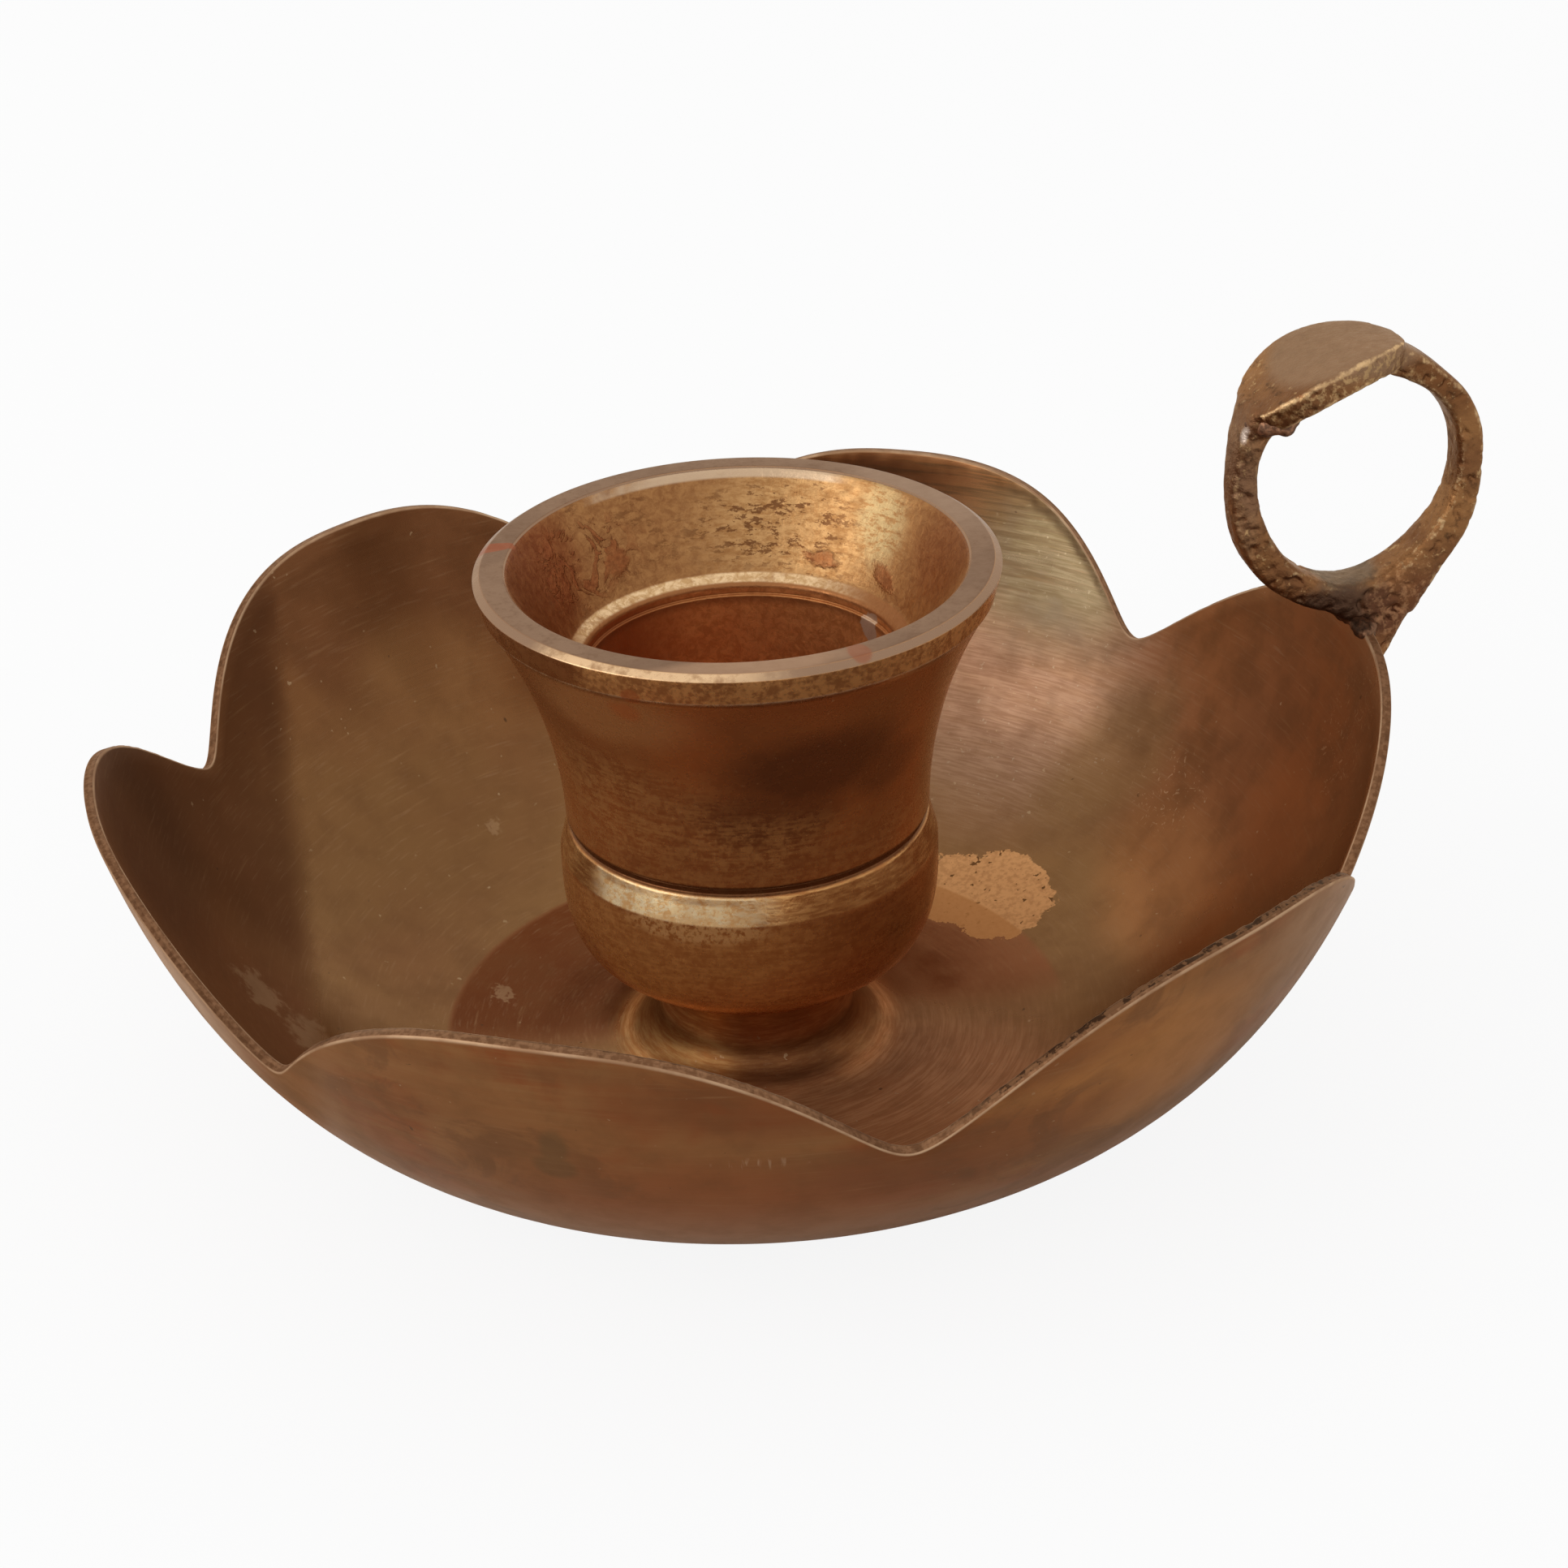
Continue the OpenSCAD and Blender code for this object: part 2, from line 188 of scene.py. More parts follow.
def thinned(share, depth):
    """Depth inside the outer surface, where the wall thins towards its sawn edge."""
    near_edge = min(max((share - THIN_FROM) / (1 - THIN_FROM), 0), 1)
    return depth * (1 - RIM_THIN * near_edge**2 * (3 - 2 * near_edge))


def saw_mark(place, depth):
    """How far the saw has bitten into the inner half of the rim, deepest on the petal at the front right."""
    inner_half = min(max(depth / WALL * 3 - 1, 0), 1)
    angle = math.degrees(math.atan2(place.y, place.x))
    roughest = math.exp(-(((angle + 61) / 27) ** 2))
    bite = max(0, noise.noise(place / SAW_PITCH) + 0.1)
    return SAW_CUT * inner_half * bite * (0.35 + roughest)


def softened(corners, steps=4):
    """Outline through corners given as (radius, height, rounding), with each rounded corner cut as an arc."""
    points = []
    for i, (x, y, rounding) in enumerate(corners):
        here = Vector((x, y))
        if not rounding:
            points.append(here)
            continue
        before = Vector(corners[i - 1][:2]) - here
        after = Vector(corners[i + 1][:2]) - here
        start = here + before.normalized() * min(rounding, before.length / 2)
        end = here + after.normalized() * min(rounding, after.length / 2)
        for k in range(steps + 1):
            t = k / steps
            points.append((1 - t) ** 2 * start + 2 * t * (1 - t) * here + t * t * end)
    return points


# Building turned pieces


def turned(bm, verts, closed, steps):
    """Joins verts into an outline in the XZ plane and turns it round the Z axis, a sector at a time."""
    edges = [bm.edges.new(pair) for pair in zip(verts, verts[1:])]
    if closed:
        edges.append(bm.edges.new((verts[-1], verts[0])))
    sector = math.tau / SECTORS
    bmesh.ops.spin(
        bm, geom=verts + edges, cent=(0, 0, 0), axis=(0, 0, 1), angle=sector, steps=steps // SECTORS
    )
    first = bm.verts[:] + bm.edges[:] + bm.faces[:]
    for i in range(1, SECTORS):
        copy = bmesh.ops.duplicate(bm, geom=first)["geom"]
        moved = [v for v in copy if isinstance(v, bmesh.types.BMVert)]
        bmesh.ops.rotate(bm, verts=moved, cent=(0, 0, 0), matrix=Matrix.Rotation(sector * i, 3, "Z"))
    bmesh.ops.remove_doubles(bm, verts=bm.verts, dist=MERGE)
    bmesh.ops.recalc_face_normals(bm, faces=bm.faces)


def finished(bm, name, material, nodes, smooth=True):
    """Turns the bmesh into a piece of the root body that stands for its CAD nodes."""
    mesh = bpy.data.meshes.new(name)
    for face in bm.faces:
        face.smooth = smooth
    bm.to_mesh(mesh)
    bm.free()
    mesh.materials.append(material)
    piece = bpy.data.objects.new(name, mesh)
    bpy.context.scene.collection.objects.link(piece)
    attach(piece, "root")
    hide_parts(*nodes)
    return piece


def make_pan(material):
    bm = bmesh.new()
    share_of = bm.verts.layers.float.new("side_share")
    depth_of = bm.verts.layers.float.new("wall_depth")

    def plain(x, z, depth=0.0):
        vert = bm.verts.new((x, 0, z))
        vert[depth_of] = depth
        return vert

    def on_side(share, depth):
        x, z = side_point(share, depth)
        vert = plain(x, z, depth)
        vert[share_of] = share
        return vert

    shares = [i / SIDE_STEPS for i in range(1, SIDE_STEPS)]
    rim = [(1 - ARRIS / TIP_REACH, 0), (1, ARRIS), (1, WALL * 0.3), (1, WALL / 2), (1, WALL * 0.7), (1, WALL - ARRIS)]
    rim.append((1 - ARRIS / TIP_REACH, WALL))
    flare = [Vector(p) for p in (
        (PED_R + PED_FLARE, WALL),
        (PED_R + PED_FLARE * FLARE_HOLLOW, WALL),
        (PED_R, WALL + PED_FLARE_H * FLARE_HOLLOW),
        (PED_R, WALL + PED_FLARE_H),
    )]
    verts = [plain(SCREW_HOLE_R, RECESS_Z), plain(RECESS_R, RECESS_Z), plain(RECESS_R, 0), plain(FOOT_R, 0)]
    verts += [on_side(share, 0) for share in shares]
    verts += [on_side(*place) for place in rim]
    verts += [on_side(share, WALL) for share in reversed(shares)]
    inner_foot = side_point(0, WALL)
    verts += [plain(x, WALL, WALL) for x in (inner_foot.x, (inner_foot.x + PED_R + PED_FLARE) / 2)]
    verts += [plain(*curve(flare, i / 16)[0], WALL) for i in range(17)]
    seat = ((PED_R, (WALL + PED_FLARE_H + SEAT_Z) / 2), (PED_R, SEAT_Z), (SCREW_HOLE_R, SEAT_Z))
    verts += [plain(*place, WALL) for place in seat]
    turned(bm, verts, True, PAN_STEPS)
    for vert in bm.verts:
        if vert[share_of]:
            angle = math.atan2(vert.co.y, vert.co.x)
            x, z = side_point(vert[share_of] * petal_edge(angle), thinned(vert[share_of], vert[depth_of]))
            vert.co = (x * math.cos(angle), x * math.sin(angle), z)
            if vert[share_of] == 1:
                vert.co.z -= saw_mark(vert.co, vert[depth_of])
    return finished(bm, "pan", material, ["drip_pan"])


def make_cup(material):
    bm = bmesh.new()
    bead_z = SEAT_Z + BOWL_H
    bead_top = bead_z + BEAD_SIDE_H
    waist_z = bead_top + BEAD_SLOPE_H
    band_z = LIP_Z - BAND_H
    band_r = LIP_R - BAND_TAPER
    flare_h, flare_in = band_z - waist_z, band_r - BAND_STEP - WAIST_R
    flare_r = (flare_h**2 + flare_in**2) / (2 * flare_in)
    flare_angle = math.asin(flare_h / flare_r)
    ledge_z = LIP_Z - MOUTH_DEPTH
    shelf_r = LEDGE_R - (LEDGE_R - BORE_R) * LEDGE_SHARE
    bowl = [Vector(p) for p in (
        (BOWL_EDGE_R, SEAT_Z + 0.4 * MM),
        (BOWL_EDGE_R + 2.5 * MM, SEAT_Z + 1.5 * MM),
        (BEAD_R, SEAT_Z + 3 * MM),
        (BEAD_R, bead_z),
    )]
    corners = [(0, THREAD_TOP, 0), (THREAD_R, THREAD_TOP, 0), (THREAD_R, SEAT_Z, 0), (BOWL_FLAT_R, SEAT_Z, 0.2 * MM)]
    corners += [(*curve(bowl, i / 20)[0], 0) for i in range(21)]
    corners += [(BEAD_R, bead_top, 0.2 * MM), (WAIST_R, waist_z, 0.15 * MM)]

    # Small cove between the bead and the foot of the flared body, with a groove along its top
    cove_top = waist_z + COVE_H
    corners += [(WAIST_R - COVE_IN, waist_z + 0.2 * MM, 0.1 * MM), (WAIST_R - COVE_IN, cove_top - 0.15 * MM, 0.05 * MM)]
    corners += [(WAIST_R - COVE_IN - 0.15 * MM, cove_top - 0.08 * MM, 0), (WAIST_R - COVE_IN - 0.15 * MM, cove_top, 0)]
    foot_share = COVE_H / flare_h
    for i in range(25):
        angle = flare_angle * (foot_share + (1 - foot_share) * i / 24)
        corners.append((WAIST_R + flare_r * (1 - math.cos(angle)), waist_z + flare_r * math.sin(angle), 0.1 * MM if i == 0 else 0))
    corners += [(band_r, band_z, 0.08 * MM)]

    # Lip with a bevel at each edge
    corners += [(LIP_R, LIP_Z - LIP_BEVEL * 0.7, 0.08 * MM), (LIP_R - LIP_BEVEL, LIP_Z, 0.1 * MM)]
    corners += [(LIP_R - LIP_W + MOUTH_BEVEL, LIP_Z, 0.06 * MM), (LIP_R - LIP_W, LIP_Z - MOUTH_BEVEL, 0.06 * MM)]
    corners += [(LEDGE_R, ledge_z, 0.4 * MM), (LEDGE_R - 0.7 * MM, ledge_z - 0.35 * MM, 0.15 * MM)]
    corners += [(shelf_r, ledge_z - LEDGE_H / 2, 0.2 * MM), (shelf_r, ledge_z - LEDGE_H, 0.1 * MM)]
    corners += [(BORE_R, ledge_z - LEDGE_H, 0.15 * MM), (BORE_R, BORE_Z, 0.4 * MM), (0, BORE_Z, 0)]
    inside_of = bm.verts.layers.float.new("inside")
    verts, inside = [], False
    for x, z in softened(corners):
        inside = inside or (z > LIP_Z - MOUTH_BEVEL and x < LIP_R - LIP_W + MOUTH_BEVEL / 2)
        verts.append(bm.verts.new((x, 0, z)))
        verts[-1][inside_of] = inside
    turned(bm, verts, False, CUP_STEPS)
    return finished(bm, "cup", material, ["candle_cup"])


# Cast ring and its braze


def swept(bm, along, around, section, square=4.0):
    """Closed bar: section(share) gives its centre, its thickness way, thickness and width in the ring's plane.

    The bar's corners are as sharp as a superellipse of the given power.
    """
    made = bmesh.ops.create_grid(bm, x_segments=along, y_segments=around, size=1)["verts"]
    for vert in made:
        share, turn = (vert.co.x + 1) / 2, math.pi * vert.co.y
        centre, way, thick, wide = section(share)
        c, s = math.cos(turn), math.sin(turn)
        reach = (abs(c) ** square + abs(s) ** square) ** (-1 / square)
        at = RING_AT + centre + way * (c * reach * thick / 2)
        vert.co = (at.x, s * reach * wide / 2, at.y)
    bmesh.ops.remove_doubles(bm, verts=made, dist=MERGE)
    edges = [e for e in bm.edges if e.is_boundary]
    bmesh.ops.holes_fill(bm, edges=edges)


def between(points, share):
    """Value at a share along (share, value) points, on a smooth curve through them."""
    for i, ((s0, v0), (s1, v1)) in enumerate(zip(points, points[1:])):
        if share <= s1:
            before, after = points[max(i - 1, 0)], points[min(i + 2, len(points) - 1)]
            wide = s1 - s0
            rise_in = (v1 - before[1]) / (s1 - before[0]) * wide
            rise_out = (after[1] - v0) / (after[0] - s0) * wide
            t = (share - s0) / wide
            eased = v0 + (v1 - v0) * t * t * (3 - 2 * t)
            return eased + t * (1 - t) * (rise_in * (1 - t) - rise_out * t)
    return points[-1][1]


def oval_reach(half, lean, angle):
    """Distance from the centre to an oval with these half sizes, leaning outwards, at an angle."""
    return 1 / math.hypot(math.cos(angle + lean) / half.x, math.sin(angle + lean) / half.y)


def web_reach(way):
    """Distance from the ring's centre to the sides of the web that joins it to the petal's rim."""
    for side in zip(WEB, WEB[1:]):
        hit = geometry.intersect_line_line_2d(Vector((0, 0)), way * WEB_FAR, *side)
        if hit:
            return hit.length
    return 0


def ring_section(share):
    """Ring from the plate's outer end, round under the finger, up to the plate's inner end."""
    past = RING_SWEEP * share
    angle = math.radians(RING_START - past)
    way = Vector((math.cos(angle), math.sin(angle)))
    inner = oval_reach(FINGER, FINGER_LEAN, angle) - between(RING_INSIDE, past) * MM
    outer = oval_reach(FINGER + Vector((LIMB_T, LIMB_T)), 0, angle) + between(RING_OUTSIDE, past) * MM
    outer = max(outer, web_reach(way))
    return way * (inner + outer) / 2, way, outer - inner, between(RING_WIDTH, past) * MM


# Ring's course: where it starts and how far it runs, in degrees, and what the casting adds, in millimetres

RING_START, RING_SWEEP = 76, 294
RING_OUTSIDE = (
    (0, 0), (11, -0.3), (26, -0.4), (42, -0.1), (61, 0.12), (80, 0.06), (97, 0.3), (113, 0.52),
    (204, 0.5), (217, 0.45), (233, 0.33), (251, 0.16), (268, 0.2), (284, 0.6), (292, 0.9),
)
RING_INSIDE = (
    (0, 0.95), (12, 0.95), (24, 0.75), (37, 0.55), (58, 0.35), (95, 0.3), (117, 0.45), (142, 0.4), (166, 0.12),
    (208, 0.45), (221, 0.55), (244, 0.42), (264, 0.13), (283, -0.1), (292, 0),
)
RING_WIDTH = ((0, 3.2), (77, 2.8), (159, 3.9), (204, 3), (261, 2.5), (280, 3.5), (294, 4.8))
WEB = tuple(
    Vector(p) * MM for p in ((-7, -7.6), (-3.2, -10.1), (-0.6, -11.9), (4.75, -11.9), (6.65, -8.9), (8.3, -6.6))
)
WEB_FAR = 20 * MM

# Where the plate runs into the limbs and is smoothed: outwards, across, up and reach in millimetres
RING_JOINS = ((-8.7, 0, 6, 2.4), (-8.6, 2.2, 5.8, 1.8), (2.6, 0, 10.2, 1.8), (3, 1.5, 10, 1.6), (2.4, -0.6, 7.9, 1.5))
JOIN_ROUNDS = 20


def tail_section(share):
    """Tail of the ring, from its web down the outside of the petal."""
    below_rim = TAIL_L * share - 0.6 * MM
    near = rim_radius(PAN_H - below_rim) + BRAZE_T - RING_AT.x
    tail_end = rim_radius(PAN_H - TAIL_L) + TAIL_END_T - RING_AT.x
    far = TAIL_TOP + (tail_end - TAIL_TOP) * share
    wide = between(((0, 4.1 * MM), (1, TAIL_W)), share)
    return Vector(((near + far) / 2, RIM_DOWN - below_rim)), Vector((1, 0)), far - near, wide


def rim_radius(height):
    """Radius of the pan's outer surface at a height near its rim."""
    low, high = 0.5, 1.0
    for _ in range(30):
        middle = (low + high) / 2
        if curve(SIDE, middle)[0].y < height:
            low = middle
        else:
            high = middle
    return curve(SIDE, low)[0].x


def plate_section(share):
    """Thumb plate: a leaf shape, arched along its length."""
    along = PLATE_BLUNT + (PLATE_L - PLATE_BLUNT) * share - PLATE_L / 2
    bend = ((PLATE_L / 2) ** 2 + PLATE_ARCH**2) / (2 * PLATE_ARCH)
    bulge = (PLATE_W - PLATE_END_W) / 2
    leaf_r = ((PLATE_L / 2) ** 2 + bulge**2) / (2 * bulge)
    wide = 2 * (math.sqrt(leaf_r**2 - along**2) - leaf_r) + PLATE_W
    drop = bend - math.sqrt(bend**2 - along**2)
    turn = Matrix.Rotation(PLATE_TILT, 2)
    centre = turn @ Vector((along, FINGER.y + PLATE_RISE - drop - PLATE_T / 2))
    return centre, turn @ Vector((along / bend, 1)).normalized(), PLATE_T, wide


def cast_skin(bm, voxel, rounds, roughness, joins=()):
    """Melts the bmesh's bars into one skin, softens its edges and its joins and roughens it like a casting."""
    mesh = bpy.data.meshes.new("melt")
    bmesh.ops.recalc_face_normals(bm, faces=bm.faces)
    bm.to_mesh(mesh)
    bm.free()
    melt = bpy.data.objects.new("melt", mesh)
    bpy.context.scene.collection.objects.link(melt)
    remesh = melt.modifiers.new("voxels", "REMESH")
    remesh.mode, remesh.voxel_size, remesh.adaptivity = "VOXEL", voxel, 0
    skin = bpy.data.meshes.new_from_object(melt.evaluated_get(bpy.context.evaluated_depsgraph_get()))
    made = bmesh.new()
    made.from_mesh(skin)
    bpy.data.objects.remove(melt)
    bpy.data.meshes.remove(mesh)
    bpy.data.meshes.remove(skin)
    for _ in range(rounds):
        bmesh.ops.smooth_vert(made, verts=made.verts, factor=0.5, use_axis_x=True, use_axis_y=True, use_axis_z=True)
    for place, reach in joins:
        near = [vert for vert in made.verts if (vert.co - place).length < reach]
        for _ in range(JOIN_ROUNDS):
            bmesh.ops.smooth_vert(made, verts=near, factor=0.5, use_axis_x=True, use_axis_y=True, use_axis_z=True)
    made.normal_update()
    mark_arrises(made, voxel)
    moves = [(vert, vert.normal * roughness(vert)) for vert in made.verts]
    for vert, move in moves:
        vert.co += move
    bmesh.ops.recalc_face_normals(made, faces=made.faces)
    return made


def mark_arrises(bm, voxel):
    """Stores how sharply the skin bends outwards at each vertex, for the wear and painted highlights on its arrises,
    and how far it faces sideways.
    """
    wear_of = bm.verts.layers.float.new("wear")
    sideways_of = bm.verts.layers.float.new("sideways")
    for vert in bm.verts:
        around = [edge.other_vert(vert).co for edge in vert.link_edges]
        middle = sum(around, Vector()) / len(around)
        vert[wear_of] = (vert.co - middle).dot(vert.normal) / voxel
        vert[sideways_of] = abs(vert.normal.y)
    for _ in range(2):
        spread = [
            (vert, (vert[wear_of] + sum(e.other_vert(vert)[wear_of] for e in vert.link_edges)) / (1 + len(vert.link_edges)))
            for vert in bm.verts
        ]
        for vert, value in spread:
            vert[wear_of] = value


def casting_roughness(vert):
    """Shallow waves and grain, deeper on the plate's sides and round the root."""
    waves = noise.noise(vert.co * 350) * 0.05 * MM
    grain = noise.noise(vert.co * 2000) * 0.08 * MM
    pits = max(0, noise.noise(vert.co * 1300 + Vector((7, 3, 1))) - 0.15) * -0.6 * MM
    low = between(((0, 1), (RING_AT.y - 2 * MM, 1), (RING_AT.y + 2 * MM, 0.3), (1, 0.3)), vert.co.z)
    top = max(0.0, vert.normal.z) ** 2 if vert.co.z > RING_AT.y + FINGER.y * 0.7 else 0.0
    side = max(low * 0.3, abs(vert.normal.y) ** 2)
    return waves * (1 - 0.8 * top) + (grain + pits) * side * (1 - 0.9 * top)


def make_ring(material):
    bm = bmesh.new()
    swept(bm, 110, 28, ring_section, 5)
    swept(bm, 40, 28, tail_section, 4)
    swept(bm, 50, 48, plate_section, 14)
    joins = [(Vector((RING_AT.x + x * MM, y * MM, RING_AT.y + z * MM)), reach * MM) for x, y, z, reach in RING_JOINS]
    made = cast_skin(bm, CAST_VOXEL, 3, casting_roughness, joins)
    return finished(made, "finger_ring", material, ["ring_handle"])


def braze_roughness(vert):
    return noise.noise(vert.co * 700) * 0.16 * MM + noise.noise(vert.co * 1900) * 0.07 * MM


def lump_roughness(vert):
    return noise.noise(vert.co * 900) * 0.09 * MM


def make_rim_braze(material):
    bm = bmesh.new()
    wide = TAIL_W / 2 + BRAZE_EDGE / 2

    def drop(place, size):
        at = Matrix.Translation(place)
        bmesh.ops.create_icosphere(bm, subdivisions=3, radius=size, matrix=at)

    steps = 40
    for i in range(steps + 1):
        y = wide * (2 * i / steps - 1)
        swell = noise.noise(Vector((y * 500, 0, 0)))
        x = math.sqrt((PAN_R - WALL / 2) ** 2 - y**2)
        taper = 1 - 0.45 * (y / wide) ** 4
        drop((x, y, PAN_H - 0.1 * MM), (0.75 + 0.25 * swell) * taper * MM)
        for side in (-1, 1):
            z = PAN_H - TAIL_L * i / steps
            edge = side * (between(((0, 2.6 * MM), (1, TAIL_W / 2)), i / steps) + 0.1 * MM)
            out = math.sqrt(max(rim_radius(z) ** 2 - edge**2, 0)) + 0.05 * MM
            drop((out, edge, z), (0.5 + 0.15 * noise.noise(Vector((z * 600, side, 0)))) * MM)
        low = math.sqrt(rim_radius(PAN_H - TAIL_L) ** 2 - (y * 0.8) ** 2)
        drop((low + 0.1 * MM, y * 0.8, PAN_H - TAIL_L), 0.5 * MM)
    made = cast_skin(bm, 0.12 * MM, 2, braze_roughness)
    return finished(made, "rim_braze_bead", material, ["rim_braze"])


def make_ring_braze(material):
    bm = bmesh.new()
    for outwards, y, up, size in LUMP_DROPS:
        place = Matrix.Translation((RING_AT.x + outwards * MM, y * MM, RING_AT.y + up * MM))
        bmesh.ops.create_icosphere(bm, subdivisions=3, radius=size * MM, matrix=place)
    made = cast_skin(bm, 0.12 * MM, 4, lump_roughness)
    return finished(made, "ring_braze_lump", material, ["ring_braze"])


# Drops of braze under the plate's inner end, as outwards, across, up and radius in millimetres

LUMP_DROPS = (
    (-7.2, -2.1, 5.5, 0.85), (-6.5, -2.4, 5.3, 0.75), (-5.9, -2.3, 5.6, 0.5), (-7.8, -1.9, 5.2, 0.8),
    (-8.5, -1.1, 5.2, 0.7), (-8.2, 0.3, 5.1, 0.95), (-8, 1.4, 5.3, 0.8), (-7.2, -0.9, 5.6, 0.8), (-7.6, 0.6, 5.3, 0.9),
)


def make_screw(material):
    """Slotted cheese-head screw that holds the cup, with its head in the recess under the pan."""
    bm = bmesh.new()
    head_top = WASHER_LOW.z
    head_low = head_top - HEAD_H
    corners = [(0, SCREW_TOP.z, 0), (SHANK_R - 0.4 * MM, SCREW_TOP.z, 0), (SHANK_R, SCREW_TOP.z - 0.5 * MM, 0)]
    corners += [(SHANK_R, head_top, 0), (HEAD_R, head_top, 0.15 * MM), (HEAD_R, head_low, 0.5 * MM), (0, head_low, 0)]
    verts = [bm.verts.new((x, 0, z)) for x, z in softened(corners)]
    turned(bm, verts, False, 96)
    screw = finished(bm, "slotted_screw", material, ["cup_screw"])
    cutter = bmesh.new()
    size = Matrix.Diagonal((4 * HEAD_R, SLOT_W, 2 * SLOT_DEPTH, 1))
    bmesh.ops.create_cube(cutter, size=1, matrix=Matrix.Translation((0, 0, head_low)) @ size)
    mesh = bpy.data.meshes.new("slot_cutter")
    cutter.to_mesh(mesh)
    cutter.free()
    saw = bpy.data.objects.new("slot_cutter", mesh)
    bpy.context.scene.collection.objects.link(saw)
    cut = screw.modifiers.new("slot", "BOOLEAN")
    cut.operation, cut.solver, cut.object = "DIFFERENCE", "EXACT", saw
    slotted = bpy.data.meshes.new_from_object(screw.evaluated_get(bpy.context.evaluated_depsgraph_get()))
    screw.modifiers.clear()
    screw.data = slotted
    bpy.data.objects.remove(saw)
    soften = screw.modifiers.new("edges", "BEVEL")
    soften.width, soften.segments, soften.limit_method, soften.angle_limit = 0.08 * MM, 2, "ANGLE", math.radians(50)
    return screw


def make_washer(material):
    bm = bmesh.new()
    low, top, soft = WASHER_LOW.z, WASHER_TOP.z, 0.15 * MM
    corners = [(WASHER_HOLE_R, low, 0), (WASHER_R, low, soft), (WASHER_R, top, soft), (WASHER_HOLE_R, top, 0)]
    verts = [bm.verts.new((x, 0, z)) for x, z in softened(corners)]
    turned(bm, verts, True, 96)
    return finished(bm, "flat_washer", material, ["screw_washer"])


# Materials


class Finish:
    """Builds one node material step by step. Sockets are passed on as they are, numbers as constants."""

    def __init__(self, name):
        self.material = bpy.data.materials.new(name)
        self.material.use_nodes = True
        self.nodes = self.material.node_tree.nodes
        self.links = self.material.node_tree.links
        self.shader = self.nodes["Principled BSDF"]
        self.place = self.node("ShaderNodeTexCoord").outputs["Object"]

    def node(self, kind, **settings):
        made = self.nodes.new(kind)
        for key, value in settings.items():
            setattr(made, key, value)
        return made

    def put(self, socket, value):
        if isinstance(value, bpy.types.NodeSocket):
            self.links.new(value, socket)
        else:
            socket.default_value = value

    def math(self, operation, *values, clamp=False):
        made = self.node("ShaderNodeMath", operation=operation, use_clamp=clamp)
        for socket, value in zip(made.inputs, values):
            self.put(socket, value)
        return made.outputs[0]

    def vector(self, operation, *values):
        made = self.node("ShaderNodeVectorMath", operation=operation)
        for socket, value in zip(made.inputs, values):
            self.put(socket, value)
        return made.outputs["Value" if operation in ("LENGTH", "DISTANCE", "DOT_PRODUCT") else "Vector"]

    def noise(self, scale, detail=2.0, rough=0.5, at=None, twist=0.0):
        made = self.node("ShaderNodeTexNoise")
        self.put(made.inputs["Vector"], self.place if at is None else at)
        for key, value in (("Scale", scale), ("Detail", detail), ("Roughness", rough), ("Distortion", twist)):
            self.put(made.inputs[key], value)
        return made.outputs["Fac"]

    def ramp(self, value, low, high, to_low=0.0, to_high=1.0):
        made = self.node("ShaderNodeMapRange", interpolation_type="SMOOTHSTEP")
        for socket, given in zip(made.inputs, (value, low, high, to_low, to_high)):
            self.put(socket, given)
        return made.outputs["Result"]

    def blend(self, share, below, above, way="MIX"):
        made = self.node("ShaderNodeMix", data_type="RGBA", blend_type=way)
        for socket, value in ((made.inputs[0], share), (made.inputs[6], below), (made.inputs[7], above)):
            self.put(socket, value)
        return made.outputs[2]

    def round_axis(self):
        """Radius, height and the direction round the axis, for patterns left by turning."""
        split = self.node("ShaderNodeSeparateXYZ")
        self.put(split.inputs[0], self.place)
        x, y, self.height = split.outputs
        self.radius = self.math("POWER", self.math("ADD", self.math("MULTIPLY", x, x), self.math("MULTIPLY", y, y)), 0.5)
        self.across, self.inward = self.math("DIVIDE", x, self.radius), self.math("DIVIDE", y, self.radius)

    def streaks(self, across, along, detail=2.0, rough=0.5):
        """Noise in streaks round the axis: features per metre across them, and per radius along them."""
        made = self.node("ShaderNodeTexNoise", noise_dimensions="4D")
        at = self.node("ShaderNodeCombineXYZ")
        for socket, value, scale in zip(at.inputs, (self.radius, self.height, self.across), (across, across, along)):
            self.put(socket, self.math("MULTIPLY", value, scale))
        self.put(made.inputs["Vector"], at.outputs[0])
        self.put(made.inputs["W"], self.math("MULTIPLY", self.inward, along))
        for key, value in (("Scale", 1), ("Detail", detail), ("Roughness", rough)):
            self.put(made.inputs[key], value)
        return made.outputs["Fac"]

    def attribute(self, name):
        return self.node("ShaderNodeAttribute", attribute_name=name).outputs["Fac"]

    def spot(self, centre, radii, soft=0.2, ragged=0.0, scale=400):
        """1 inside an ellipsoid given in millimetres, fading over soft of its size, with a ragged edge."""
        from_middle = self.vector("SUBTRACT", self.place, tuple(c * MM for c in centre))
        reach = self.vector("LENGTH", self.vector("DIVIDE", from_middle, tuple(r * MM for r in radii)))
        if ragged:
            reach = self.math("ADD", reach, self.math("MULTIPLY", self.math("SUBTRACT", self.noise(scale, 4, 0.6), 0.5), ragged))
        return self.ramp(reach, 1 + soft / 2, 1 - soft / 2)

    def all_of(self, *masks):
        result = masks[0]
        for mask in masks[1:]:
            result = self.math("MULTIPLY", result, mask)
        return result

    def any_of(self, *masks):
        result = masks[0]
        for mask in masks[1:]:
            result = self.math("MAXIMUM", result, mask)
        return result

    def bump(self, height, depth, below=None):
        made = self.node("ShaderNodeBump")
        self.put(made.inputs["Height"], height)
        made.inputs["Strength"].default_value = 1
        made.inputs["Distance"].default_value = depth
        if below is not None:
            self.put(made.inputs["Normal"], below)
        return made.outputs["Normal"]

